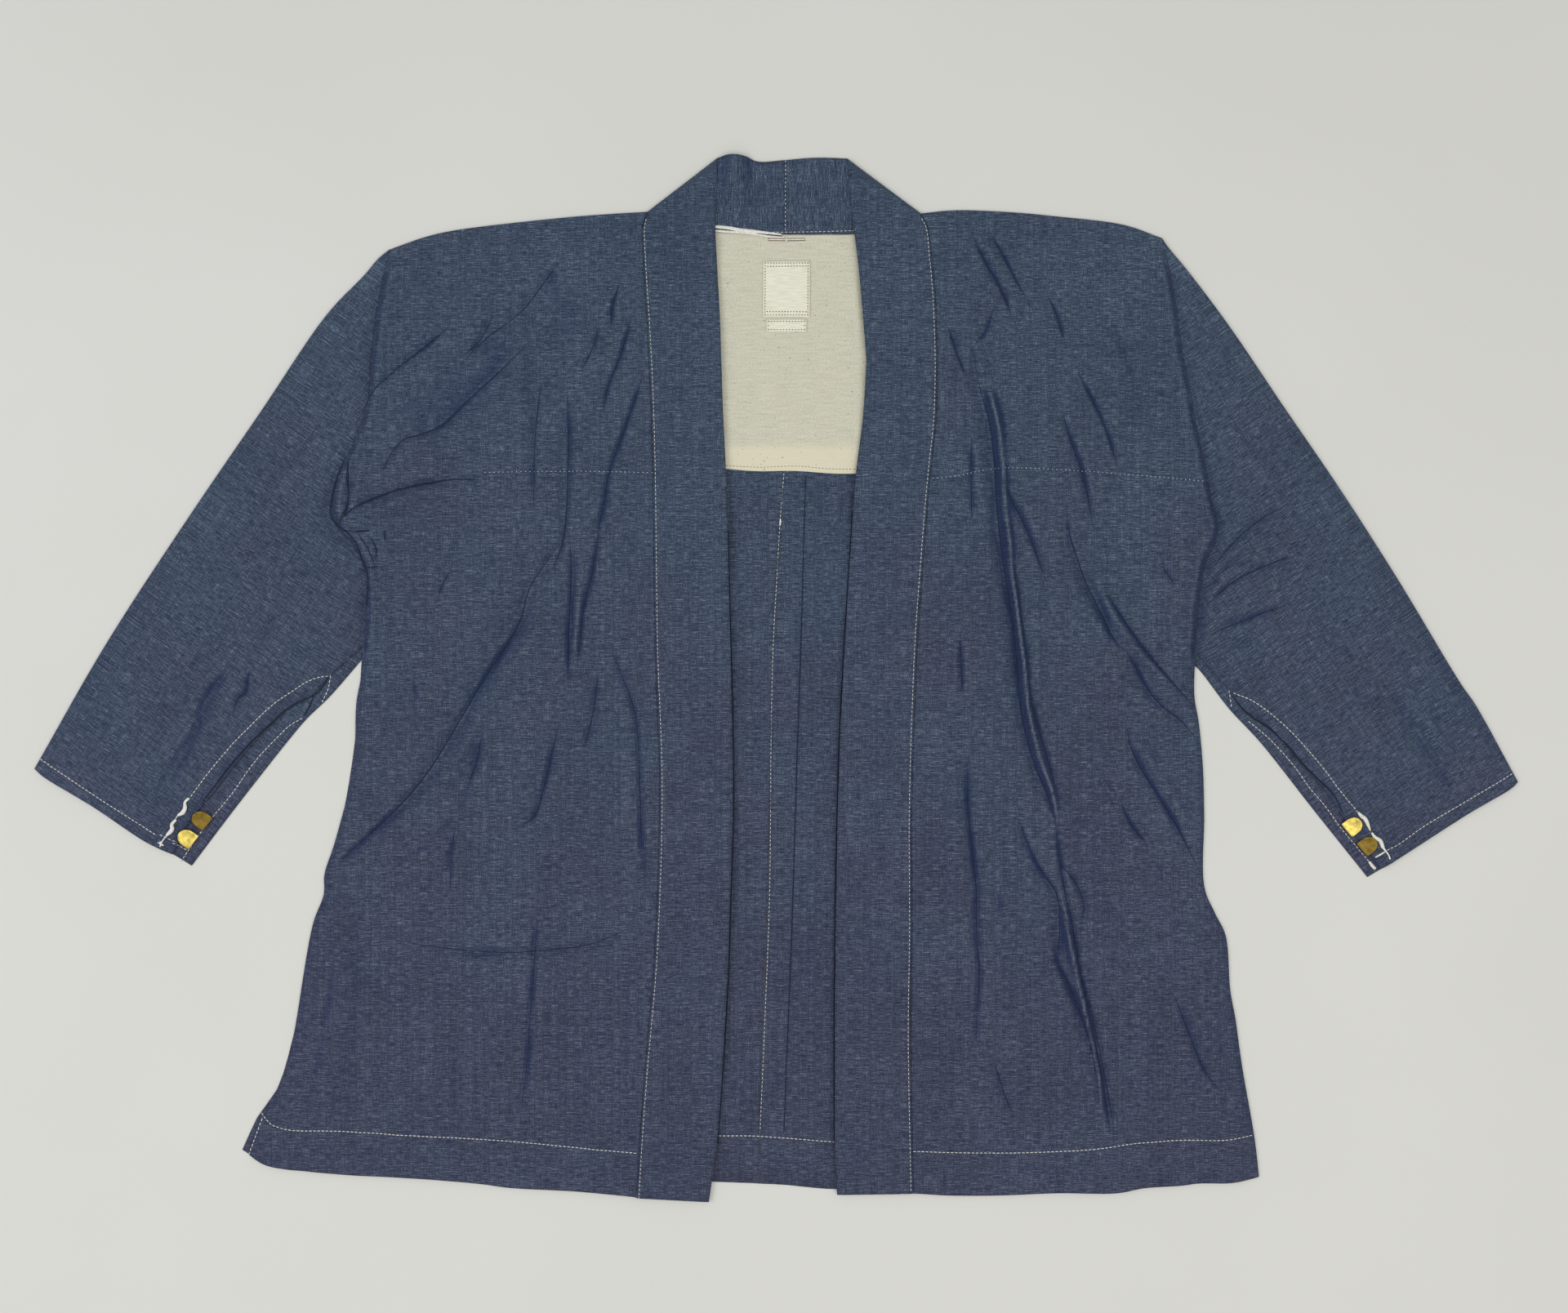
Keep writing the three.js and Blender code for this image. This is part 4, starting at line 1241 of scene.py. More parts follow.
def linked_mesh(name: str, mesh: bpy.types.Mesh) -> bpy.types.Object:
    """Put a mesh into the scene as an object, smooth all over.

    Args:
        name: the object's name.
        mesh: its mesh, with its place in it.

    Returns:
        The object.
    """
    mesh.polygons.foreach_set("use_smooth", np.ones(len(mesh.polygons), dtype=bool))
    mesh.update()
    made = bpy.data.objects.new(name, mesh)
    bpy.context.scene.collection.objects.link(made)
    return made


def dress(piece: bpy.types.Object, material: bpy.types.Material, slot: str, *nodes: str) -> bpy.types.Object:
    """Give a piece its finish and its body.

    Args:
        piece: the finished piece.
        material: its finish.
        slot: not used.
        nodes: the nodes that it stands for, if any.

    Returns:
        The piece.
    """
    piece.data.materials.clear()
    piece.data.materials.append(material)
    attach(piece, "root")
    if nodes:
        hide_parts(*nodes)
    LOG.info("%s: %d faces", piece.name, len(piece.data.polygons))
    return piece


@dataclass
class BodyHalf:
    """Half the body: one length of cloth from the front hem over the shoulder to the back hem.

    Sizes are in mm. A run is the length of an edge, which sets how many cells lie along it.
    """

    half: Half
    wall: float = 0.5
    across: float = 1.42
    step: float = 2.6
    back_step: float = 12.0
    seam_gap: float = 0.12
    width: float = 205.0
    armhole_run: float = 290.0
    side_run: float = 370.0
    back_side_run: float = 350.0
    neck_run: float = 100.0
    fell: float = 18.5
    fell_rise: float = 0.42
    side_dip: float = 0.8
    side_dip_width: float = 3.2
    # how much painted shade the broad hollows of the front get
    hollow_shade: float = 0.17

    @property
    def columns(self) -> int:
        """How many cells lie across the half."""
        return round(self.width / self.across)

    def front_grid(self) -> np.ndarray:
        """Lay out the front from the shoulder to the hem.

        Returns:
            A grid of (x, y).
        """
        half = self.half
        shoulder = curve(half.shoulder, self.columns)
        sleeve_side = curve(half.armhole, round(self.armhole_run / self.step))
        side = np.vstack([sleeve_side, curve(half.side, round(self.side_run / self.step))[1:]])
        t = np.linspace(0, 1, len(side))
        y = half.neck_point[1] * (1 - t) + half.band_end[0] * t
        seam = np.stack([along(half.band, y, 1) + half.out * self.seam_gap, y], axis=1)
        shoulder[-1] = seam[0]
        hem = curve(half.hem, self.columns)
        hem[-1] = seam[-1]
        return fill(shoulder, hem, side, seam)

    def back_grid(self) -> np.ndarray:
        """Lay out the back from the shoulder to the hem.

        Returns:
            A grid of (x, y).
        """
        half = self.half
        sleeve_side = curve(half.back_armhole, round(self.armhole_run / self.back_step))
        side = np.vstack([sleeve_side, curve(half.back_side, round(self.back_side_run / self.back_step))[1:]])
        neck = curve(half.neckline, round(self.neck_run / self.back_step))
        centre = curve(CENTRE_BACK, len(side) - len(neck))
        inner = np.vstack([neck, centre[1:]]) + np.array([half.out, -1]) * self.seam_gap
        shoulder = curve(half.shoulder, self.columns)
        shoulder[-1] = (half.neck_point[0] + half.out * self.seam_gap, half.neck_point[1])
        inner[0] = shoulder[-1]
        hem = curve(half.back_hem, self.columns)
        hem[-1] = inner[-1]
        return fill(shoulder, hem, side, inner)

    def back_height(self, x: np.ndarray, y: np.ndarray) -> np.ndarray:
        """Height of the back's middle: flat, with the felled seam's step beside the centre.

        Args:
            x, y: places on the back.

        Returns:
            The height at each place.
        """
        centre = np.interp(-y, [-r[1] for r in CENTRE_BACK], [r[0] for r in CENTRE_BACK])
        past = x - centre
        step = smoothstep(past / 1.5) * smoothstep((self.fell - past) / 1.2) if self.half.out > 0 else 0.0
        return LEVELS.back + self.fell_rise * step

    def build(self) -> bpy.types.Object:
        """Make the cloth of this half.

        Returns:
            The piece.
        """
        front, back = self.front_grid(), self.back_grid()
        x, y = front[..., 0], front[..., 1]
        height = LEVELS.front + Drape(self.half).front(x, y)
        border = distance_to(curve(self.half.side, 200), x, y)
        height -= self.side_dip * hump(border, self.side_dip_width)
        turn = fold_turn(front[0], back[1], front[1], LEVELS.back, LEVELS.front, self.wall)
        under = as_layer(back, self.back_height(back[..., 0], back[..., 1]))[:0:-1]
        top = as_layer(front, height)
        middle = np.concatenate([under, turn, top[1:]])
        uv = middle[..., :2].copy()
        uv[: len(under), :, 1] = 2 * self.half.neck_point[1] - uv[: len(under), :, 1]
        # Painted shade and highlight from the top layer's folds, with more painted shade in the broad
        # hollows.
        hollows = [f for f in self.half.front_folds if f.width > FORM.broad]
        painted_shading = np.zeros(middle.shape[:2])
        painted_shading[len(under) + len(turn) :] = (painted_fold_shading(top) - self.hollow_shade * fold_height(hollows, x, y))[1:]
        return cloth_mesh(f"{self.half.name}_body_cloth", middle, self.wall, uv, painted_shading)

    def dress(self, piece: bpy.types.Object, finishes: Finishes) -> None:
        dress(piece, finishes.chambray, "chambray", f"body_{self.half.name}")


@dataclass
class BandHalf:
    """Half the collar band: folded double, sewn up the front and mitred round to the centre back.

    Sizes are in mm. The roll is the soft hump behind the neck, beside the left mitre.
    """

    half: Half
    wall: float = 1.25
    step: float = 2.5
    columns: int = 22
    neck_cells: int = 40
    mitre_cells: int = 9
    seam_gap: float = 0.12
    centre_gap: float = 0.06
    width: float = 51.0
    run: float = 690.0
    mitre_start: float = 318.0
    end_reach: float = 40.0
    crown: float = 0.35
    sewn_dip: float = 0.45
    sewn_dip_width: float = 1.6
    free_dip: float = 0.3
    free_dip_width: float = 1.8
    roll_at: float = -29.0
    roll_width: float = 8.4
    roll_rise: float = 4.4
    roll_power: float = 2.2
    roll_foot: float = 322.0
    roll_reach: float = 34.0
    roll_share: float = 0.2
    dip: float = 0.4
    dip_at: float = -17.5
    dip_width: float = 2.2
    dip_reach: float = 20.0
    small: float = 0.25
    small_scale: float = 1.4
    broad: float = 0.3
    broad_scale: float = 2.0
    neck_ends: tuple[float, float] = (-46.0, 52.0)
    neck_reach: float = 5.0

    def sections(self) -> tuple[np.ndarray, np.ndarray]:
        """Lay out the band's two edges up the front, from the hem to the mitre.

        Returns:
            The sewn edge and the free edge.
        """
        half = self.half
        count = round(self.run / self.step)
        y = np.linspace(half.band_end[0], self.mitre_start, count + 1)
        sewn = np.stack([along(half.band, y, 1) - half.out * self.seam_gap, y], axis=1)
        square = 1 - smoothstep((y - half.band_end[0]) / self.end_reach)
        free = np.stack([along(half.band, y, 2), y + (half.band_end[1] - half.band_end[0]) * square], axis=1)
        t = np.linspace(0, 1, self.mitre_cells + 1)[1:, None]
        sewn_end = np.array(half.neck_point) + (-half.out * self.seam_gap, 0)
        sewn = np.vstack([sewn, sewn[-1] * (1 - t) + sewn_end * t])
        free = np.vstack([free, free[-1] * (1 - t) + np.array(half.mitre_top) * t])
        return sewn, free

    def front_height(self, x: np.ndarray, y: np.ndarray, across: np.ndarray) -> np.ndarray:
        """Height of the band up the front, crowned between its sewn and its folded edge.

        Args:
            x, y: places on the band.
            across: the same from 0 at the sewn edge to 1 at the free one.

        Returns:
            The height at each place.
        """
        height = LEVELS.band + Drape(self.half).front(x, y)
        height += self.crown * np.sin(math.pi * across) ** 0.5
        sewn = self.sewn_dip * hump(across * self.width, self.sewn_dip_width)
        free = self.free_dip * hump((1 - across) * self.width, self.free_dip_width)
        return height - (sewn + free)

    def build(self) -> bpy.types.Object:
        """Make the band's cloth.

        Returns:
            The piece.
        """
        half = self.half
        u = np.linspace(0, 1, self.columns + 1)[None, :, None]
        sewn, free = self.sections()
        front = sewn[:, None] * (1 - u) + free[:, None] * u
        x, y = front[..., 0], front[..., 1]
        top = as_layer(front, self.front_height(x, y, np.broadcast_to(u[..., 0], x.shape)))
        neck = curve(half.neckline, self.neck_cells) + np.array([0, 1]) * self.seam_gap
        upper = curve(half.collar_top, self.neck_cells)
        neck[-1, 0] += half.out * self.centre_gap
        upper[-1, 0] += half.out * self.centre_gap
        back = neck[:, None] * (1 - u) + upper[:, None] * u
        behind = as_layer(back, LEVELS.neck + self.neck_height(back[..., 0], back[..., 1]))
        turn = fold_turn(front[-1], back[1], front[-2], LEVELS.neck, LEVELS.band, self.wall)[::-1]
        middle = np.concatenate([top[:-1], turn, behind[1:]])
        uv = middle[..., 1::-1].copy()
        uv[: len(front) - 1] = front[:-1]
        # Painted shade and highlight from the folds of both layers.
        painted_shading = np.zeros(middle.shape[:2])
        painted_shading[: len(front) - 1] = painted_fold_shading(top)[:-1]
        painted_shading[-len(back) + 1 :] = painted_fold_shading(behind)[1:]
        return cloth_mesh(f"{half.name}_collar_cloth", middle, self.wall, uv, painted_shading)

    def neck_height(self, x: np.ndarray, y: np.ndarray) -> np.ndarray:
        """Height of the band behind the neck, with the soft roll beside the left mitre.

        Args:
            x, y: places on the band.

        Returns:
            The height at each place above its flat level.
        """
        d = (x - self.roll_at) / self.roll_width
        rise = self.roll_share + (1 - self.roll_share) * smoothstep((y - self.roll_foot) / self.roll_reach)
        roll = self.roll_rise * np.exp(-np.abs(d) ** self.roll_power) * rise
        dip = -self.dip * hump(x - self.dip_at, self.dip_width)
        dip *= smoothstep((y - self.mitre_start) / self.dip_reach)
        waves = self.small * SMALL_WAVES(x * self.small_scale, y * self.small_scale)
        waves += self.broad * BROAD_WAVES(x * self.broad_scale, y * self.broad_scale)
        left, right = self.neck_ends
        under = smoothstep((x - left if self.half.out < 0 else right - x) / self.neck_reach)
        return (roll + dip + np.maximum(0, waves)) * under

    def dress(self, piece: bpy.types.Object, finishes: Finishes) -> None:
        dress(piece, finishes.chambray, "chambray", f"collar_{self.half.name}")


@dataclass
class Sleeve:
    """A three-quarter sleeve: one piece folded into a tube, open at its slit and cuff.

    Sizes are in mm. The hem of the slit is the doubled cloth along it.
    """

    half: Half
    wall: float = 0.5
    step: float = 2.6
    run: float = 400.0
    armhole_run: float = 290.0
    over_step: float = 1.15
    under_cells: int = 34
    seam_gap: float = 0.12
    slit_hem: float = 10.5
    slit_hem_rise: float = 0.45
    slit_dip: float = 0.35
    slit_dip_width: float = 1.4
    closed_dip: float = 0.75
    closed_dip_width: float = 2.4
    closed_share: float = 0.1

    def build(self) -> bpy.types.Object:
        """Make the sleeve's cloth.

        Returns:
            The piece.
        """
        half = self.half
        rows, over = round(self.run / self.step), round(self.armhole_run / self.step / self.over_step)
        under = self.under_cells
        armhole = curve(half.armhole, over) + (half.out * self.seam_gap, 0)
        back_armhole = curve(half.back_armhole, under) + (half.out * self.seam_gap, 0)
        fold, slit, arm = (curve(t, rows) for t in (half.sleeve_fold, half.slit, half.underarm))
        fold[0], slit[0], arm[0] = armhole[0], armhole[-1], back_armhole[-1]
        back_armhole[0] = armhole[0]
        front = fill(armhole, curve(half.cuff, over), fold, slit)
        bottom = fill(back_armhole, curve(half.back_cuff, under), fold, arm)
        top = as_layer(front, self.top_height(front, slit))
        turn = fold_turn(fold, bottom[:, 1], front[:, 1], LEVELS.back, LEVELS.front, self.wall)
        flap = as_layer(bottom, LEVELS.back)[:, :0:-1]
        middle = np.concatenate([flap, np.swapaxes(turn, 0, 1), top[:, 1:]], axis=1)
        # Painted shade and highlight from the folds of the top layer.
        painted_shading = np.zeros(middle.shape[:2])
        painted_shading[:, -over:] = painted_fold_shading(top)[:, 1:]
        uv = self.flat_places(middle, under)
        return cloth_mesh(f"{half.name}_sleeve_cloth", middle, self.wall, uv, painted_shading)

    def top_height(self, grid: np.ndarray, slit: np.ndarray) -> np.ndarray:
        """Height of the top layer, thicker along the slit and pressed down at the closed seam.

        Args:
            grid: the layer's rows by columns of (x, y).
            slit: the points of the slit's edge.

        Returns:
            The height at each place.
        """
        rows, columns = grid.shape[:2]
        u = np.broadcast_to(np.linspace(0, 1, columns)[None], (rows, columns))
        v = np.broadcast_to(np.linspace(0, 1, rows)[:, None], (rows, columns))
        x, y = grid[..., 0], grid[..., 1]
        height = LEVELS.front + Drape(self.half).sleeve(x, y, u, v)
        edge = distance_to(slit, x, y)
        is_open = smoothstep(v / self.closed_share)
        hem = self.slit_hem_rise * smoothstep((self.slit_hem - edge) / 1.2)
        height += (hem - self.slit_dip * hump(edge, self.slit_dip_width)) * is_open
        height -= self.closed_dip * hump(edge, self.closed_dip_width) * (1 - is_open)
        return height

    def flat_places(self, middle: np.ndarray, under: int) -> np.ndarray:
        """Lay the sleeve out flat, with the lower layer turned out.

        Args:
            middle: rows by columns of points.
            under: how many columns the lower layer has.

        Returns:
            Rows by columns of places, across from the fold and along it.
        """
        start, end = np.array(self.half.sleeve_fold[0]), np.array(self.half.sleeve_fold[-1])
        along_fold = (end - start) / np.linalg.norm(end - start)
        across_fold = np.array([-along_fold[1], along_fold[0]])
        away = middle[..., :2] - start
        u, v = np.abs(away @ across_fold), away @ along_fold
        u[:, : under + TURN_ROWS // 2] *= -1
        return np.stack([u, v], axis=2)

    def dress(self, piece: bpy.types.Object, finishes: Finishes) -> None:
        dress(piece, finishes.chambray, "chambray", f"sleeve_{self.half.name}")


@dataclass
class YokeLining:
    """The cream lining inside the back of the neck, hemmed at the bottom. Sizes are in mm."""

    left: float = -60.0
    right: float = 78.0
    bottom: tuple[float, float] = (149.2, 144.8)
    wall: float = 0.4
    rows: int = 128
    columns: int = 100
    hem_depth: float = 17.0
    hem_rise: float = 0.22
    hem_reach: float = 1.5
    top_gap: float = 0.5
    sway: float = 0.5
    sway_length: float = 9.0
    broad: float = 0.5
    small: float = 0.18
    deepest: float = 0.2
    pressed: float = 0.55
    shown: tuple[float, float] = (-44.0, 62.0)
    shown_reach: float = 6.0
    folds: tuple[Fold, ...] = (
        Fold(((53, 300), (60.5, 231), (57.5, 160)), 1.3, 2.6),
        Fold(((33, 217.6), (48, 220.4), (64, 222.6)), 1.0, 1.7),
        Fold(((-20, 221), (60, 214)), -0.5, 4),
        Fold(((-30, 290), (-26, 170)), 0.5, 9),
        Fold(((18, 236), (30, 160)), 0.5, 10),
        Fold(((-34, 182), (50, 178)), 0.4, 8),
    )

    def build(self) -> bpy.types.Object:
        """Make the lining's cloth, flat where the fronts cover it.

        Returns:
            The piece.
        """
        x = np.linspace(self.left, self.right, self.columns)
        neck = np.vstack([curve(LEFT.neckline, 80), curve(RIGHT.neckline, 80)[::-1]])
        top = np.interp(x, neck[:, 0], neck[:, 1]) - self.top_gap
        bottom = np.interp(x, [self.left, self.right], self.bottom) + self.sway * np.sin(x / self.sway_length)
        v = np.linspace(0, 1, self.rows)[:, None]
        places = np.broadcast_to(x, (self.rows, self.columns))
        grid = np.stack([places, top * (1 - v) + bottom * v], axis=2)
        gx, gy = grid[..., 0], grid[..., 1]
        seen = smoothstep((gx - self.shown[0]) / self.shown_reach)
        seen *= smoothstep((self.shown[1] - gx) / self.shown_reach)
        height = fold_height(self.folds, gx, gy) + self.broad * BROAD_WAVES(gx, gy)
        height += self.small * SMALL_WAVES(gx, gy)
        hem = self.hem_rise * smoothstep((self.bottom[0] + self.hem_depth - gy) / self.hem_reach)
        above = np.maximum(height, -self.deepest) + self.deepest + hem
        middle = as_layer(grid, LEVELS.lining + above * seen * self.pressed)
        return cloth_mesh("yoke_lining_cloth", middle, self.wall, grid)

    def dress(self, piece: bpy.types.Object, finishes: Finishes) -> None:
        dress(piece, finishes.cotton, "lining", "yoke_lining")


@dataclass
class Label:
    """A blank woven label, sewn flat on the lining all round. Sizes are in mm."""

    node: str
    corners: tuple[Row, Row, Row, Row]
    wall: float = 0.35
    turned: float = 1.0
    columns: int = 21
    rows: int = 25
    lift: float = 0.25
    crown: float = 0.3
    pucker: float = 0.1

    def build(self) -> bpy.types.Object:
        """Make the label from its corners, slightly uneven as sewn tape is.

        Returns:
            The piece.
        """
        a, b, c, d = (np.array(p, dtype=float) for p in self.corners)
        u = np.linspace(0, 1, self.columns)[None, :, None]
        v = np.linspace(0, 1, self.rows)[:, None, None]
        grid = (a * (1 - u) + b * u) * (1 - v) + (d * (1 - u) + c * u) * v
        x, y = grid[..., 0], grid[..., 1]
        inside = np.sin(math.pi * u[..., 0]) * np.sin(math.pi * v[..., 0])
        level = LEVELS.label + self.lift + self.crown * inside
        height = level + self.pucker * np.sin(x / 2.6 + y / 7) * inside
        return cloth_mesh(f"{self.node}_tape", as_layer(grid, height), self.wall, grid)

    def dress(self, piece: bpy.types.Object, finishes: Finishes) -> None:
        """Finish the label.

        Args:
            piece: the piece that build made.
            finishes: the jacket's finishes.
        """
        dress(piece, finishes.tape, "label", self.node)


@dataclass
class Claw:
    """A D shaped brass claw: sewn by its straight edge, its round end over the slit's edge.

    Sizes are in mm, its turn is in degrees and its tilt in radians. Each ring of the rolled edge
    and the dish has how far it is drawn in and its height, as a share of the full height.
    """

    node: str
    at: Row
    degrees: float
    level: float
    # whether the claw gets the brass painted lit rather than the one painted in shade
    bright: bool
    width: float = 12.2
    length: float = 12.4
    thick: float = 0.85
    tilt: float = 0.235
    corner: float = 0.9
    chamfer: tuple[float, float] = (0.25, 0.3)
    straight: float = 0.42
    roundness: float = 0.92
    full: float = 0.86
    dish: float = 0.66
    rings: Table = (
        (0.25, 0.0), (0.0, 0.2), (0.0, 0.55), (0.12, 0.78), (0.4, 0.86), (1.4, 0.84), (2.9, 0.74),
        (4.4, 0.68),
    )

    def outline(self, shrink: float) -> np.ndarray:
        """Lay out the D.

        Args:
            shrink: how far it is drawn in.

        Returns:
            Its points, from one end of the bow to the other and down the straight edge.
        """
        half, length = self.width / 2 - shrink, self.length - 2 * shrink
        turn = np.linspace(-math.pi / 2, math.pi / 2, 33)
        reach = length * self.straight + length * 0.58 * np.cos(turn) ** self.roundness
        bow = np.stack([reach, half * np.sin(turn)], axis=1)
        in_x, in_y = self.chamfer
        upper = ((self.corner, half), (in_x, half - in_y), (0, half - self.corner))
        lower = ((0, self.corner - half), (in_x, in_y - half), (self.corner, -half))
        return np.vstack([bow, upper, lower]) + (shrink, 0)

    def build(self) -> bpy.types.Object:
        """Make the claw with rolled edges and a shallow dish.

        Returns:
            The piece.
        """
        layers = []
        for shrink, z in self.rings:
            outline = self.outline(shrink)
            layers.append(np.column_stack([outline, np.full(len(outline), z / self.full * self.thick)]))
        count, last = len(layers[0]), len(self.rings) - 1
        middle = [(self.length / 2, 0, 0.0), (self.length / 2, 0, self.dish / self.full * self.thick)]
        points = np.vstack([*layers, middle])
        faces = []
        for i in range(count):
            j = (i + 1) % count
            faces.append((len(points) - 2, j, i))
            for r in range(last):
                faces.append((r * count + i, r * count + j, (r + 1) * count + j, (r + 1) * count + i))
            faces.append((last * count + i, last * count + j, len(points) - 1))
        c, s = math.cos(self.tilt), math.sin(self.tilt)
        x, y, z = points[:, 0] * c - points[:, 2] * s, points[:, 1], points[:, 0] * s + points[:, 2] * c
        a = math.radians(self.degrees)
        placed = np.column_stack([
            x * math.cos(a) - y * math.sin(a) + self.at[0],
            x * math.sin(a) + y * math.cos(a) + self.at[1],
            z + self.level,
        ])
        mesh = bpy.data.meshes.new(self.node + "_brass")
        mesh.from_pydata((placed * MM).tolist(), [], faces)
        return linked_mesh(self.node + "_brass", mesh)

    def dress(self, piece: bpy.types.Object, finishes: Finishes) -> None:
        """Finish the claw in the brass painted lit or in the brass painted in shade."""
        dress(piece, finishes.bright if self.bright else finishes.painted_shaded, "brass", self.node)


class Seat:
    """Finds the height of the cloth under a place, seen from above."""

    ABOVE = 0.05

    def __init__(self, pieces: Sequence[bpy.types.Object]) -> None:
        """Gather the surfaces.

        Args:
            pieces: the cloths that the sewing may lie on.
        """
        verts, faces = [], []
        for piece in pieces:
            start = len(verts)
            verts += [v.co[:] for v in piece.data.vertices]
            faces += [[start + i for i in p.vertices] for p in piece.data.polygons]
        self.tree = BVHTree.FromPolygons(verts, faces)

    def height(self, x: float, y: float) -> float:
        """Return the top of the cloth at (x, y) in mm."""
        hit = self.tree.ray_cast(Vector((x * MM, y * MM, self.ABOVE)), Vector((0, 0, -1)))
        return hit[0].z / MM if hit[0] is not None else LEVELS.back

    def lay(self, rows: Table, step: float = 1.0, lift: float = 0.0) -> np.ndarray:
        """Lay a line on the cloth.

        Args:
            rows: the (x, y) places that it runs through.
            step: how far apart its points are.
            lift: how far they lie above the cloth.

        Returns:
            The line's points in mm.
        """
        flat = np.array(rows, dtype=float)
        length = np.linalg.norm(np.diff(flat, axis=0), axis=1).sum()
        cells = max(2, round(length / step))
        line = curve(rows, cells) if len(rows) > 2 else resample(flat, cells)
        return np.array([(px, py, self.height(px, py) + lift) for px, py in line])


def line_object(name: str, lines: Sequence[np.ndarray]) -> bpy.types.Object:
    """Make a curve object.

    Args:
        name: the object's name.
        lines: points in mm, which become one straight-sided spline for each line.

    Returns:
        The object.
    """
    data = bpy.data.curves.new(name, "CURVE")
    data.dimensions = "3D"
    for line in lines:
        spline = data.splines.new("POLY")
        spline.points.add(len(line) - 1)
        spline.points.foreach_set("co", np.column_stack([line * MM, np.ones(len(line))]).ravel())
    made = bpy.data.objects.new(name, data)
    bpy.context.scene.collection.objects.link(made)
    return made


def stitch_tree(material: bpy.types.Material) -> bpy.types.NodeTree:
    """Build the node tree that sews stitches along a curve.

    Args:
        material: the thread's finish.

    Returns:
        A tree with the inputs Pitch, Stitch and Thread in metres.
    """
    tree = bpy.data.node_groups.new("sew " + material.name, "GeometryNodeTree")
    sockets = tree.interface
    sockets.new_socket("Geometry", in_out="INPUT", socket_type="NodeSocketGeometry")
    for name in ("Pitch", "Stitch", "Thread"):
        sockets.new_socket(name, in_out="INPUT", socket_type="NodeSocketFloat")
    sockets.new_socket("Geometry", in_out="OUTPUT", socket_type="NodeSocketGeometry")
    given = linked(tree, "NodeGroupInput").outputs
    pitch = {"Curve": given[0], "Length": given["Pitch"]}
    spaced = linked(tree, "GeometryNodeResampleCurve", pitch, mode="LENGTH")
    points = linked(tree, "GeometryNodeCurveToPoints", {"Curve": spaced.outputs[0]}, mode="EVALUATED")
    ball = linked(tree, "GeometryNodeMeshUVSphere", {"Segments": 6, "Rings": 5, "Radius": 0.5})
    flattened = math_node(tree, "MULTIPLY", given["Thread"], 0.72)
    size = linked(tree, "ShaderNodeCombineXYZ", {0: given["Thread"], 1: flattened, 2: given["Stitch"]})
    limits = {"Min": (-0.05, -0.05, -0.1), "Max": (0.05, 0.05, 0.1), "Seed": 7}
    sway = linked(tree, "FunctionNodeRandomValue", limits, data_type="FLOAT_VECTOR")
    angles = {0: points.outputs["Rotation"]}
    turned = linked(tree, "FunctionNodeRotateRotation", angles, rotation_space="LOCAL")
    euler = linked(tree, "FunctionNodeEulerToRotation", {0: sway.outputs[0]})
    tree.links.new(euler.outputs[0], turned.inputs[1])
    copies = linked(tree, "GeometryNodeInstanceOnPoints", {
        "Points": points.outputs["Points"], "Instance": ball.outputs["Mesh"],
        "Rotation": turned.outputs[0], "Scale": size.outputs[0],
    })
    real = linked(tree, "GeometryNodeRealizeInstances", {0: copies.outputs[0]})
    smooth = linked(tree, "GeometryNodeSetShadeSmooth", {0: real.outputs[0]})
    finished = linked(tree, "GeometryNodeSetMaterial", {0: smooth.outputs[0], "Material": material})
    linked(tree, "NodeGroupOutput", {0: finished.outputs[0]})
    return tree


@dataclass
class SewnLine:
    """One set of stitched lines in one thread and one kind of sewing.

    The step is how far apart the guide's points are in mm, and the lift is a share of the thread.
    """

    name: str
    kind: Sewing
    lines: Sequence[Table]
    step: float = 1.5
    lift: float = 0.12

    def build(self, seat: Seat, tree: bpy.types.NodeTree) -> bpy.types.Object:
        """Sew the stitches.

        Args:
            seat: finds the cloth that they lie on.
            tree: the node tree that sews them.

        Returns:
            The stitches as one plain mesh.
        """
        stitch, pitch, thread = self.kind.value
        laid = [seat.lay(line, self.step, thread * self.lift) for line in self.lines]
        guide = line_object(self.name + "_line", laid)
        modifier = guide.modifiers.new("sewing", "NODES")
        modifier.node_group = tree
        sizes = {"Pitch": pitch * MM, "Stitch": stitch * MM, "Thread": thread * MM}
        for item in tree.interface.items_tree:
            if item.in_out == "INPUT" and item.name in sizes:
                modifier[item.identifier] = sizes[item.name]
        done = guide.evaluated_get(bpy.context.evaluated_depsgraph_get())
        mesh = bpy.data.meshes.new_from_object(done)
        mesh.name = self.name
        bpy.data.objects.remove(guide)
        made = bpy.data.objects.new(self.name, mesh)
        bpy.context.scene.collection.objects.link(made)
        return made


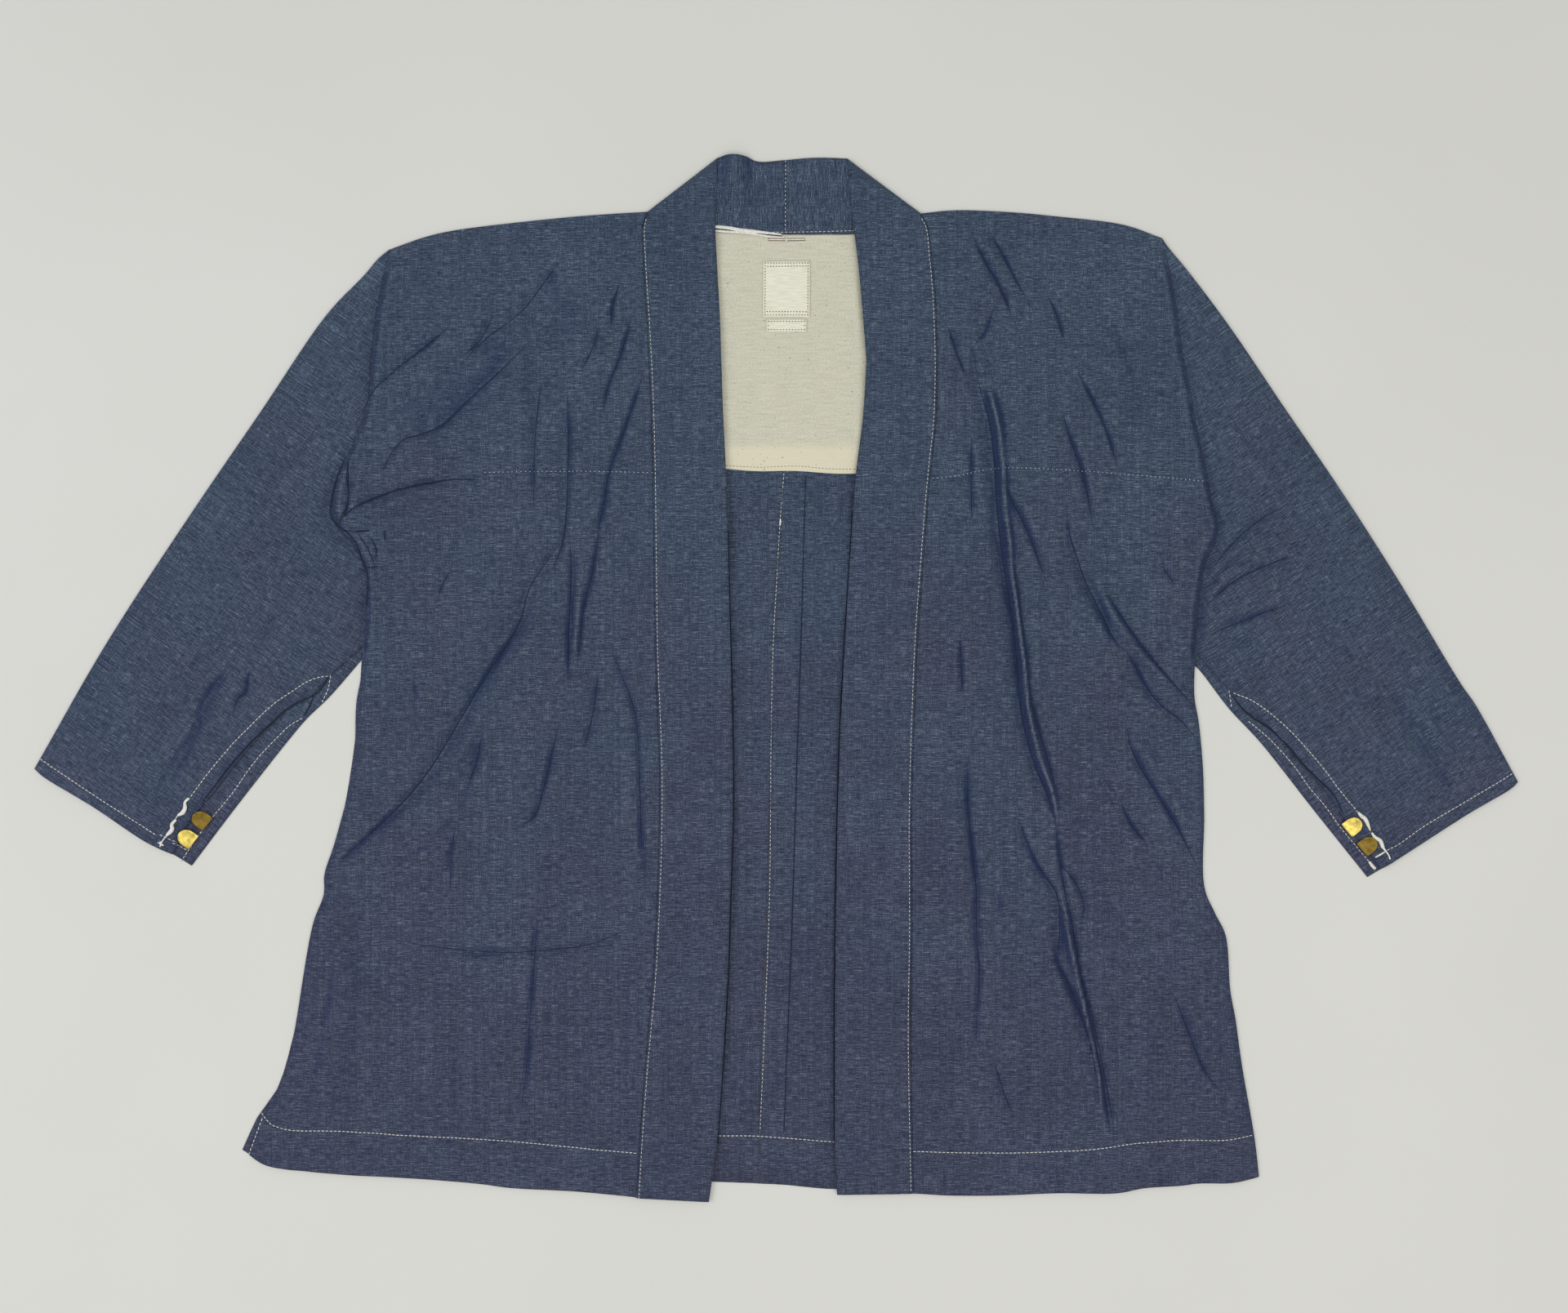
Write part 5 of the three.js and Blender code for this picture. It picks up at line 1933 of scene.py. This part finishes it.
def cord_mesh(name: str, path: np.ndarray, widths: Sequence[float]) -> bpy.types.Object:
    """Make a thick laid thread, with all sizes in mm.

    Args:
        name: the piece's name.
        path: the points of its middle.
        widths: its width at even steps along it.

    Returns:
        A closed tube.
    """
    sides, cells, flatness = 10, 40, 0.8
    line = resample(path, cells)
    width = np.interp(np.linspace(0, 1, cells + 1), np.linspace(0, 1, len(widths)), widths)
    ahead = np.gradient(line, axis=0)
    ahead /= np.linalg.norm(ahead, axis=1)[:, None]
    side = np.cross(ahead, (0, 0, 1.0))
    side /= np.linalg.norm(side, axis=1)[:, None]
    up = np.cross(side, ahead)
    turn = np.linspace(0, 2 * math.pi, sides, endpoint=False)
    ring = side[:, None] * np.cos(turn)[None, :, None] + up[:, None] * np.sin(turn)[None, :, None] * flatness
    points = (line[:, None] + ring * width[:, None, None] / 2).reshape(-1, 3)
    points = np.vstack([points, line[0], line[-1]])
    faces = []
    for i in range(cells):
        for j in range(sides):
            k = (j + 1) % sides
            faces.append((i * sides + j, i * sides + k, (i + 1) * sides + k, (i + 1) * sides + j))
    faces += [(len(points) - 2, (j + 1) % sides, j) for j in range(sides)]
    end = cells * sides
    faces += [(len(points) - 1, end + j, end + (j + 1) % sides) for j in range(sides)]
    mesh = bpy.data.meshes.new(name)
    mesh.from_pydata((points * MM).tolist(), [], faces)
    return linked_mesh(name, mesh)


class Stitching:
    """All the sewing that shows on the jacket."""

    LEFT_SEAM: Table = tuple((r[1] + 1.6, r[0]) for r in LEFT.band if r[0] < 325)
    RIGHT_SEAM: Table = tuple((r[1] - 1.6, r[0]) for r in RIGHT.band if r[0] < 325)
    SEAMS = (
        ((-92.3, 325), *LEFT_SEAM),
        ((103.4, 325.5), *RIGHT_SEAM),
        (
            (5.4, 145), (2.6, 110), (0.2, 67), (-2.2, 23), (-3.8, -53), (-4, -97), (-5, -163), (-8, -240),
            (-11.5, -322),
        ),
        ((-17, 317.2), (-6, 316.8), (20, 317), (56, 317.9)),
    )
    PRICKS = (((6.6, 367), (6.4, 319)),)
    TOP = (
        ((-364.5, -309), (-362, -312), (-358, -316), (-353, -318), (-343, -320), (-311, -320.4), (-251, -324),
         (-194, -327.4), (-148, -331.5), (-100, -336)),
        ((-365, -313), (-374, -337)),
        ((98, -335), (149, -336), (226, -333), (253, -329.5), (291, -327), (317, -327), (336.5, -324)),
        ((-316.5, 2), (-324.4, 0.8), (-333.8, -3), (-342.5, -8.8), (-353.4, -16.1), (-362.8, -24.1),
         (-372.9, -34.2), (-383.1, -44.4), (-392.5, -55.2), (-400.5, -64.7), (-407.7, -74.1), (-415.7, -85)),
        ((-316.5, 1), (-318, -7), (-322, -16)),
        ((-337.4, -28.6), (-345.4, -33.4), (-357, -44.6), (-367.1, -55.4), (-375.8, -66.4), (-384.5, -79.2),
         (-392.5, -89.3), (-400.5, -98.8), (-409.9, -111.1), (-422.2, -129.2)),
        ((-521, -57.5), (-480, -85), (-441, -110)),
        ((-436, -111), (-427, -115)),
        ((-427, -117), (-419.5, -121)),
        (
            (325, -10.5), (336, -15), (344, -20), (353, -27), (365, -38), (376, -50), (388, -64),
            (399, -79), (411.5, -94),
        ),
        ((321.5, -9), (323, -19)),
        (
            (336, -31), (347, -40), (358, -51), (369, -64), (379, -78), (390, -91), (400, -105),
            (412, -119.5), (420, -129),
        ),
        ((521, -68), (494, -84), (457, -106), (441, -117.5), (431, -122.5)),
        ((-40, -324.6), (-14, -324.8), (41, -329)),
    )
    PICKED = (
        ((-88, 146), (-152, 147), (-206, 146)),
        ((111, 142), (124, 143), (157, 149), (218, 147), (244, 145), (302, 140)),
    )
    # Dark cords of painted shadow along edges and seams: name, path and width in mm.
    EDGES = (
        ("left_slit_edge", (
            (-317.8, 0.4), (-323.6, -8.4), (-328, -11.7), (-339.6, -17.2), (-348.3, -22.8), (-358.4, -32),
            (-367.9, -40.9), (-377.3, -50.6), (-387.4, -62.2), (-396.9, -74.8), (-404.8, -85), (-408, -90),
        ), 1.3),
        ("left_slit_corner", ((-328, -11.7), (-330.9, -18.7), (-333.6, -24), (-335.4, -26.6)), 1.0),
        ("right_slit_edge", (
            (324, -12.5), (328, -18.5), (335.2, -25.5), (350.8, -36), (362, -46.9), (373.1, -60.3),
            (386.5, -73.7), (395.5, -82.8), (402.1, -97),
        ), 1.4),
        ("left_tuck_seam", (
            (-305.4, 157.2), (-310, 146.7), (-313.5, 135.1), (-315.8, 123.5), (-316.4, 117.7),
            (-314.2, 111.9), (-309, 107), (-303.1, 102.7), (-297.3, 94.5), (-294.9, 87.6), (-291.5, 79.5),
            (-289.7, 71.3), (-290.3, 52),
        ), 1.0),
        ("left_tuck_inner", (
            (-303.6, 153.7), (-304.2, 139.8), (-303.1, 129.3), (-304.8, 121.2), (-308.3, 114.3),
            (-308.9, 110.4),
        ), 1.0),
        ("left_tuck_long", (
            (-307.7, 113.6), (-299.6, 121.2), (-290.3, 124.9), (-282.2, 128.2), (-270.6, 132.8),
            (-256.7, 136.1), (-245.1, 138), (-232.3, 140.7), (-216.6, 140.9),
        ), 0.95),
        ("left_tuck_hook", ((-297.3, 103.6), (-292.6, 104.4), (-288, 104.6)), 0.8),
        ("left_tuck_side", ((-287.4, 100.3), (-283.3, 91.1), (-283.9, 85.3)), 0.9),
        ("left_tuck_foot", ((-291.5, 79.7), (-287, 79), (-282.2, 79.4)), 0.9),
        ("left_tuck_tick", ((-277.5, 105), (-277.4, 101), (-277, 98)), 0.7),
        ("felled_seam_edge", (
            (21, 144), (19.5, 100), (18, 40), (14.6, -60), (11.6, -160), (8.6, -240), (5.4, -322),
        ), 0.75),
    )
    # More painted shadow cords beside each band's inner edge.
    EDGES += tuple(
        (
            half.name + "_band_hollow",
            tuple((r[2] - half.out * 0.5, r[0]) for r in half.band if -345 < r[0] < 140),
            0.95,
        )
        for half in (LEFT, RIGHT)
    )
    MAIN_EDGE = ((-7.8, 294.8), (22.5, 294.8), (22.3, 258), (-8, 258))
    SMALL_EDGE = ((-5.5, 253.4), (20, 253.4), (20, 247.5), (-5.5, 247.5))

    LABEL_RULES = (((-6, 292.4), (21, 292.6)), ((-6.5, 260.4), (21, 260.2)))
    LINING_HEM = (((-35, 151.2), (-12, 150), (14, 150.8), (36, 149), (57, 148.6)),)
    THICK_STITCH = ((3, 113.6), (2.9, 111), (2.6, 108.4))

    def __init__(self, seat: Seat, finishes: Finishes) -> None:
        """Keep where the sewing lies and its threads."""
        self.seat = seat
        self.finishes = finishes

    def sew(
        self, name: str, kind: Sewing, lines: Sequence[Table], thread: bpy.types.Material
    ) -> None:
        """Make one set of stitches and fix it to the jacket.

        Args:
            name: the piece's name.
            kind: the sewing's sizes.
            lines: the (x, y) places that each line runs through.
            thread: its finish.
        """
        piece = SewnLine(name, kind, lines).build(self.seat, stitch_tree(thread))
        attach(piece, "root")
        LOG.info("%s: %d faces", piece.name, len(piece.data.polygons))

    def build(self) -> None:
        """Sew every visible line, then lay the thick thread loops, the neck bar and the dark cords of painted
        shadow along edges and creases.
        """
        ecru, tan, rust = self.finishes.ecru, self.finishes.tan, self.finishes.rust
        self.sew("topstitching", Sewing.TOPSTITCH, self.TOP, ecru)
        self.sew("seam_stitching", Sewing.SEAM, self.SEAMS, ecru)
        self.sew("yoke_stitching", Sewing.PICKED, self.PICKED, ecru)
        self.sew("neck_centre_stitching", Sewing.PRICKED, self.PRICKS, self.finishes.cord)
        rings = (self.MAIN_EDGE, self.SMALL_EDGE)
        edges = [(a, b) for ring in rings for a, b in zip(ring, ring[1:] + ring[:1])]
        self.sew("label_stitching", Sewing.LABEL_EDGE, edges, tan)
        self.sew("label_rules", Sewing.LABEL_EDGE, self.LABEL_RULES, rust)
        self.sew("lining_hem_stitching", Sewing.TAN_HEM, self.LINING_HEM, tan)
        self.loops()
        self.neck()
        # Painted shadow: dark cords along the slit edges, tucks, felled seam and band edges.
        for name, rows, width in self.EDGES:
            self.lay_cord(name, rows, (0.5, width, width, width, 0.5), self.finishes.edge)
        self.lay_cord("thick_stitch", self.THICK_STITCH, (0.7, 1.4, 0.7), self.finishes.cord)
        # Painted shade: a dark cord along each deep, narrow crease of the fronts and sleeves.
        for half in (LEFT, RIGHT):
            folds = (*half.front_folds, *half.sleeve_folds)
            creases = [f for f in folds if f.rise < FORM.edged_rise and f.width < FORM.edged_width]
            for i, fold in enumerate(creases, 1):
                width = 0.4 + 0.22 * abs(fold.rise)
                widths = (0.1, width, 0.7 * width, width, 0.1)
                self.lay_cord(f"{half.name}_crease_{i}", fold.path, widths, self.finishes.edge, 0.0)

    def lay_cord(
        self, name: str, rows: Table, widths: Sequence[float], thread: bpy.types.Material, proud: float = 0.3
    ) -> None:
        """Lay one thick thread, or one dark cord of painted shadow along an edge or a crease, on the cloth.

        Args:
            name: the piece's name.
            rows: the (x, y) places that it runs through, in mm.
            widths: its width at even steps along it, in mm.
            thread: its finish.
            proud: how far its middle lies above the cloth, as a share of its width.
        """
        path = self.seat.lay(rows, 0.6, 0.0)
        padded = np.pad(path[:, 2], 2, mode="edge")
        path[:, 2] = np.convolve(padded, np.ones(5) / 5, mode="valid") + max(widths) * proud
        dress(cord_mesh(name, path, widths), thread, "chambray")

    def loops(self) -> None:
        """Lay the loops that take the claws and the knots at their ends."""
        loops = (
            ("left_loop_upper", (
                (-415.6, -84.6), (-418.4, -87.4), (-418.4, -91.4), (-420, -94.6), (-423.6, -96.8),
            ), (1.6, 1.5, 2.4, 2.8, 1.4)),
            ("left_loop_thin", ((-423.6, -96.4), (-425, -98.6), (-426.2, -100.6)), (0.6, 0.5, 0.6)),
            ("left_loop_lower", (
                (-425, -99.8), (-427.9, -103.4), (-427.6, -106.6), (-431.8, -111.2),
            ), (1.6, 1.9, 2.5, 2.5, 1.3)),
            ("left_loop_tail", ((-431.2, -110.6), (-434, -113.8), (-436.4, -117)), (0.8, 0.7, 1.1)),
            ("left_knot", ((-438.2, -116.2), (-436, -117.2), (-434, -118.4)), (0.7, 1.2, 0.7)),
            ("left_knot_cross", ((-436.8, -115.4), (-436, -117.2), (-436.8, -119.2)), (0.6, 1.2, 0.6)),
            ("right_loop_upper", (
                (412, -94.6), (414, -97), (417, -99.4), (419.6, -105), (420.6, -107.6),
            ), (1.4, 2.4, 2.5, 1.9, 0.8)),
            ("right_loop_lower", (
                (421.4, -109), (424, -112.4), (427.4, -114.6), (429.6, -119.6),
            ), (1.2, 2.2, 2.6, 2.2)),
            ("right_loop_tail", (
                (429.4, -119.2), (431.6, -122), (434, -125.4), (434.8, -128),
            ), (1.6, 1.1, 0.9, 0.9)),
            ("right_slit_end", ((420.6, -129.8), (422.6, -132.4), (425, -135)), (1.3, 2.0, 1.7)),
            ("right_bridge", ((424.6, -126.6), (427.6, -124.8), (431, -122.6)), (0.9, 1.2, 0.9)),
        )
        for name, rows, widths in loops:
            self.lay_cord(name, rows, [w * 1.18 for w in widths], self.finishes.cord)

    def neck(self) -> None:
        """Lay the rolled binding, the painted shadow between its rolls and the thread bar under the neck
        seam.
        """
        rolls = (
            ("binding_upper", (
                (-44, 320.6), (-34, 319.6), (-26, 318.2), (-18, 317.4), (-8, 316.2), (4, 315),
            ), (2.4, 2.9, 2.8, 2.4, 1.3)),
            ("binding_lower", (
                (-44, 317.8), (-32, 316.9), (-20, 316), (-12, 314.8), (-4, 313.6), (6, 313),
            ), (1.7, 1.8, 1.7, 1.5, 0.9)),
        )
        for name, rows, widths in rolls:
            path = self.seat.lay(rows, 0.8, 0.0)
            path[:, 2] = LEVELS.lining + 0.9
            dress(cord_mesh(name, path, widths), self.finishes.cord, "lining")
        # Painted shadow: a dark cord in the gap between the binding's two rolls.
        gap = self.seat.lay(((-44, 319.1), (-30, 317.9), (-18, 316.7), (-8, 315.2), (4, 314)), 0.8, 0.0)
        gap[:, 2] = LEVELS.lining + 1.35
        dress(cord_mesh("binding_gap", gap, (0.5, 0.6, 0.6, 0.5)), self.finishes.edge, "lining")
        ecru, rust = self.finishes.ecru, self.finishes.rust
        bars = (
            ("bar_upper", ((-6, 312.3), (7, 312.2), (20.6, 312.3)), (0.5, 0.55, 0.5), rust),
            ("bar_middle", ((-5.6, 311.6), (7, 311.5), (20.4, 311.6)), (1.0, 1.1, 1.0), ecru),
            ("bar_lower", ((-5.8, 310.8), (7, 310.7), (20.6, 310.8)), (0.5, 0.55, 0.5), rust),
            ("bar_knot", ((7.2, 313), (7.2, 311.4), (7.4, 309.6)), (0.8, 1.3, 0.8), ecru),
        )
        for name, rows, widths, thread in bars:
            self.lay_cord(name, rows, widths, thread)


@dataclass
class Studio:
    """The plain pale floor, the soft light and the camera above it."""

    aim: Row = (5.5, 15.7)
    frame_width: float = 1113.6
    height: float = 1500.0
    sensor: float = 36.0
    floor_reach: float = 4.0
    floor_colour: str = "#d8d7d2"
    floor_shade: str = "#d5d4ce"
    sky: str = "#eef0f2"
    sky_strength: float = 0.55

    def build(self) -> None:
        """Make the floor, the lights, the sky and the camera."""
        self.floor()
        self.light("window", (-1.5, -0.12, 1.6), (0.1, -0.16, 0.0), 1.2, 14.1, "#f8faff")
        self.light("fill", (0.75, -0.5, 2.3), (0.15, -0.1, 0.0), 2.2, 28.0, "#fdfbf6")
        world = bpy.data.worlds.new("soft sky")
        world.use_nodes = True
        world.node_tree.nodes["Background"].inputs["Color"].default_value = hex_linear(self.sky)
        world.node_tree.nodes["Background"].inputs["Strength"].default_value = self.sky_strength
        scene = bpy.context.scene
        scene.world = world
        scene.view_settings.view_transform = "Standard"
        lens = bpy.data.cameras.new("camera")
        lens.sensor_width = self.sensor
        lens.lens = self.sensor * self.height / self.frame_width
        camera = bpy.data.objects.new("camera", lens)
        camera.location = (self.aim[0] * MM, self.aim[1] * MM, self.height * MM)
        scene.collection.objects.link(camera)
        scene.camera = camera

    def floor(self) -> None:
        """Lay the pale floor under the jacket."""
        mesh = bpy.data.meshes.new("floor")
        r = self.floor_reach
        mesh.from_pydata([(-r, -r, 0), (r, -r, 0), (r, r, 0), (-r, r, 0)], [], [(0, 1, 2, 3)])
        floor = bpy.data.objects.new("floor", mesh)
        bpy.context.scene.collection.objects.link(floor)
        material, tree, shader = new_material("matt pale paper")
        places = linked(tree, "ShaderNodeTexCoord").outputs["Object"]
        soft = linked(tree, "ShaderNodeTexNoise", {"Vector": places, "Scale": 3.0, "Detail": 3.0})
        shades = ((0.3, self.floor_shade), (0.7, self.floor_colour))
        tree.links.new(ramp(tree, soft.outputs[0], shades), shader.inputs["Base Color"])
        shader.inputs["Roughness"].default_value = 0.75
        shader.inputs["Specular IOR Level"].default_value = 0.2
        mesh.materials.append(material)

    def light(self, name: str, place: Row, aim: Row, size: float, power: float, colour: str) -> None:
        """Hang a square soft light.

        Args:
            name: the lamp's name.
            place, aim: where it hangs and where it points, in metres.
            size: its width in metres.
            power: its power in watts.
            colour: its colour as sRGB hex.
        """
        lamp = bpy.data.lights.new(name, "AREA")
        lamp.size = size
        lamp.energy = power
        lamp.color = hex_linear(colour)[:3]
        made = bpy.data.objects.new(name, lamp)
        made.location = place
        made.rotation_euler = (Vector(aim) - Vector(place)).to_track_quat("-Z", "Y").to_euler()
        bpy.context.scene.collection.objects.link(made)


def main() -> None:
    """Build the jacket piece by piece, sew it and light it."""
    logging.basicConfig(level=logging.INFO, format="%(name)s: %(message)s")
    Studio().build()
    finishes = Finishes()
    cloths = []
    for half in (LEFT, RIGHT):
        for part in (BodyHalf(half), BandHalf(half), Sleeve(half)):
            piece = part.build()
            part.dress(piece, finishes)
            cloths.append(piece)
    inside = (
        YokeLining(),
        Label("main_label", ((-9.4, 296.4), (24.1, 296.4), (23.9, 256.4), (-9.6, 256.4))),
        Label("small_label", ((-7, 254.8), (21.5, 254.8), (21.5, 246.1), (-7, 246.1))),
    )
    for part in inside:
        piece = part.build()
        part.dress(piece, finishes)
        cloths.append(piece)
    # Each claw's last value picks the brass painted lit or the brass painted in shade.
    claws = (
        Claw("kohaze_left_1", (-403.2, -103.4), 142, 1.9, False),
        Claw("kohaze_left_2", (-413.2, -116.4), 142, 1.9, True),
        Claw("kohaze_right_1", (404.4, -107.9), 40, 2.2, True),
        Claw("kohaze_right_2", (415.2, -121.6), 40, 2.2, False),
    )
    for claw in claws:
        claw.dress(claw.build(), finishes)
    Stitching(Seat(cloths), finishes).build()
    LOG.info("sizes written")


if __name__ == "__main__":
    main()
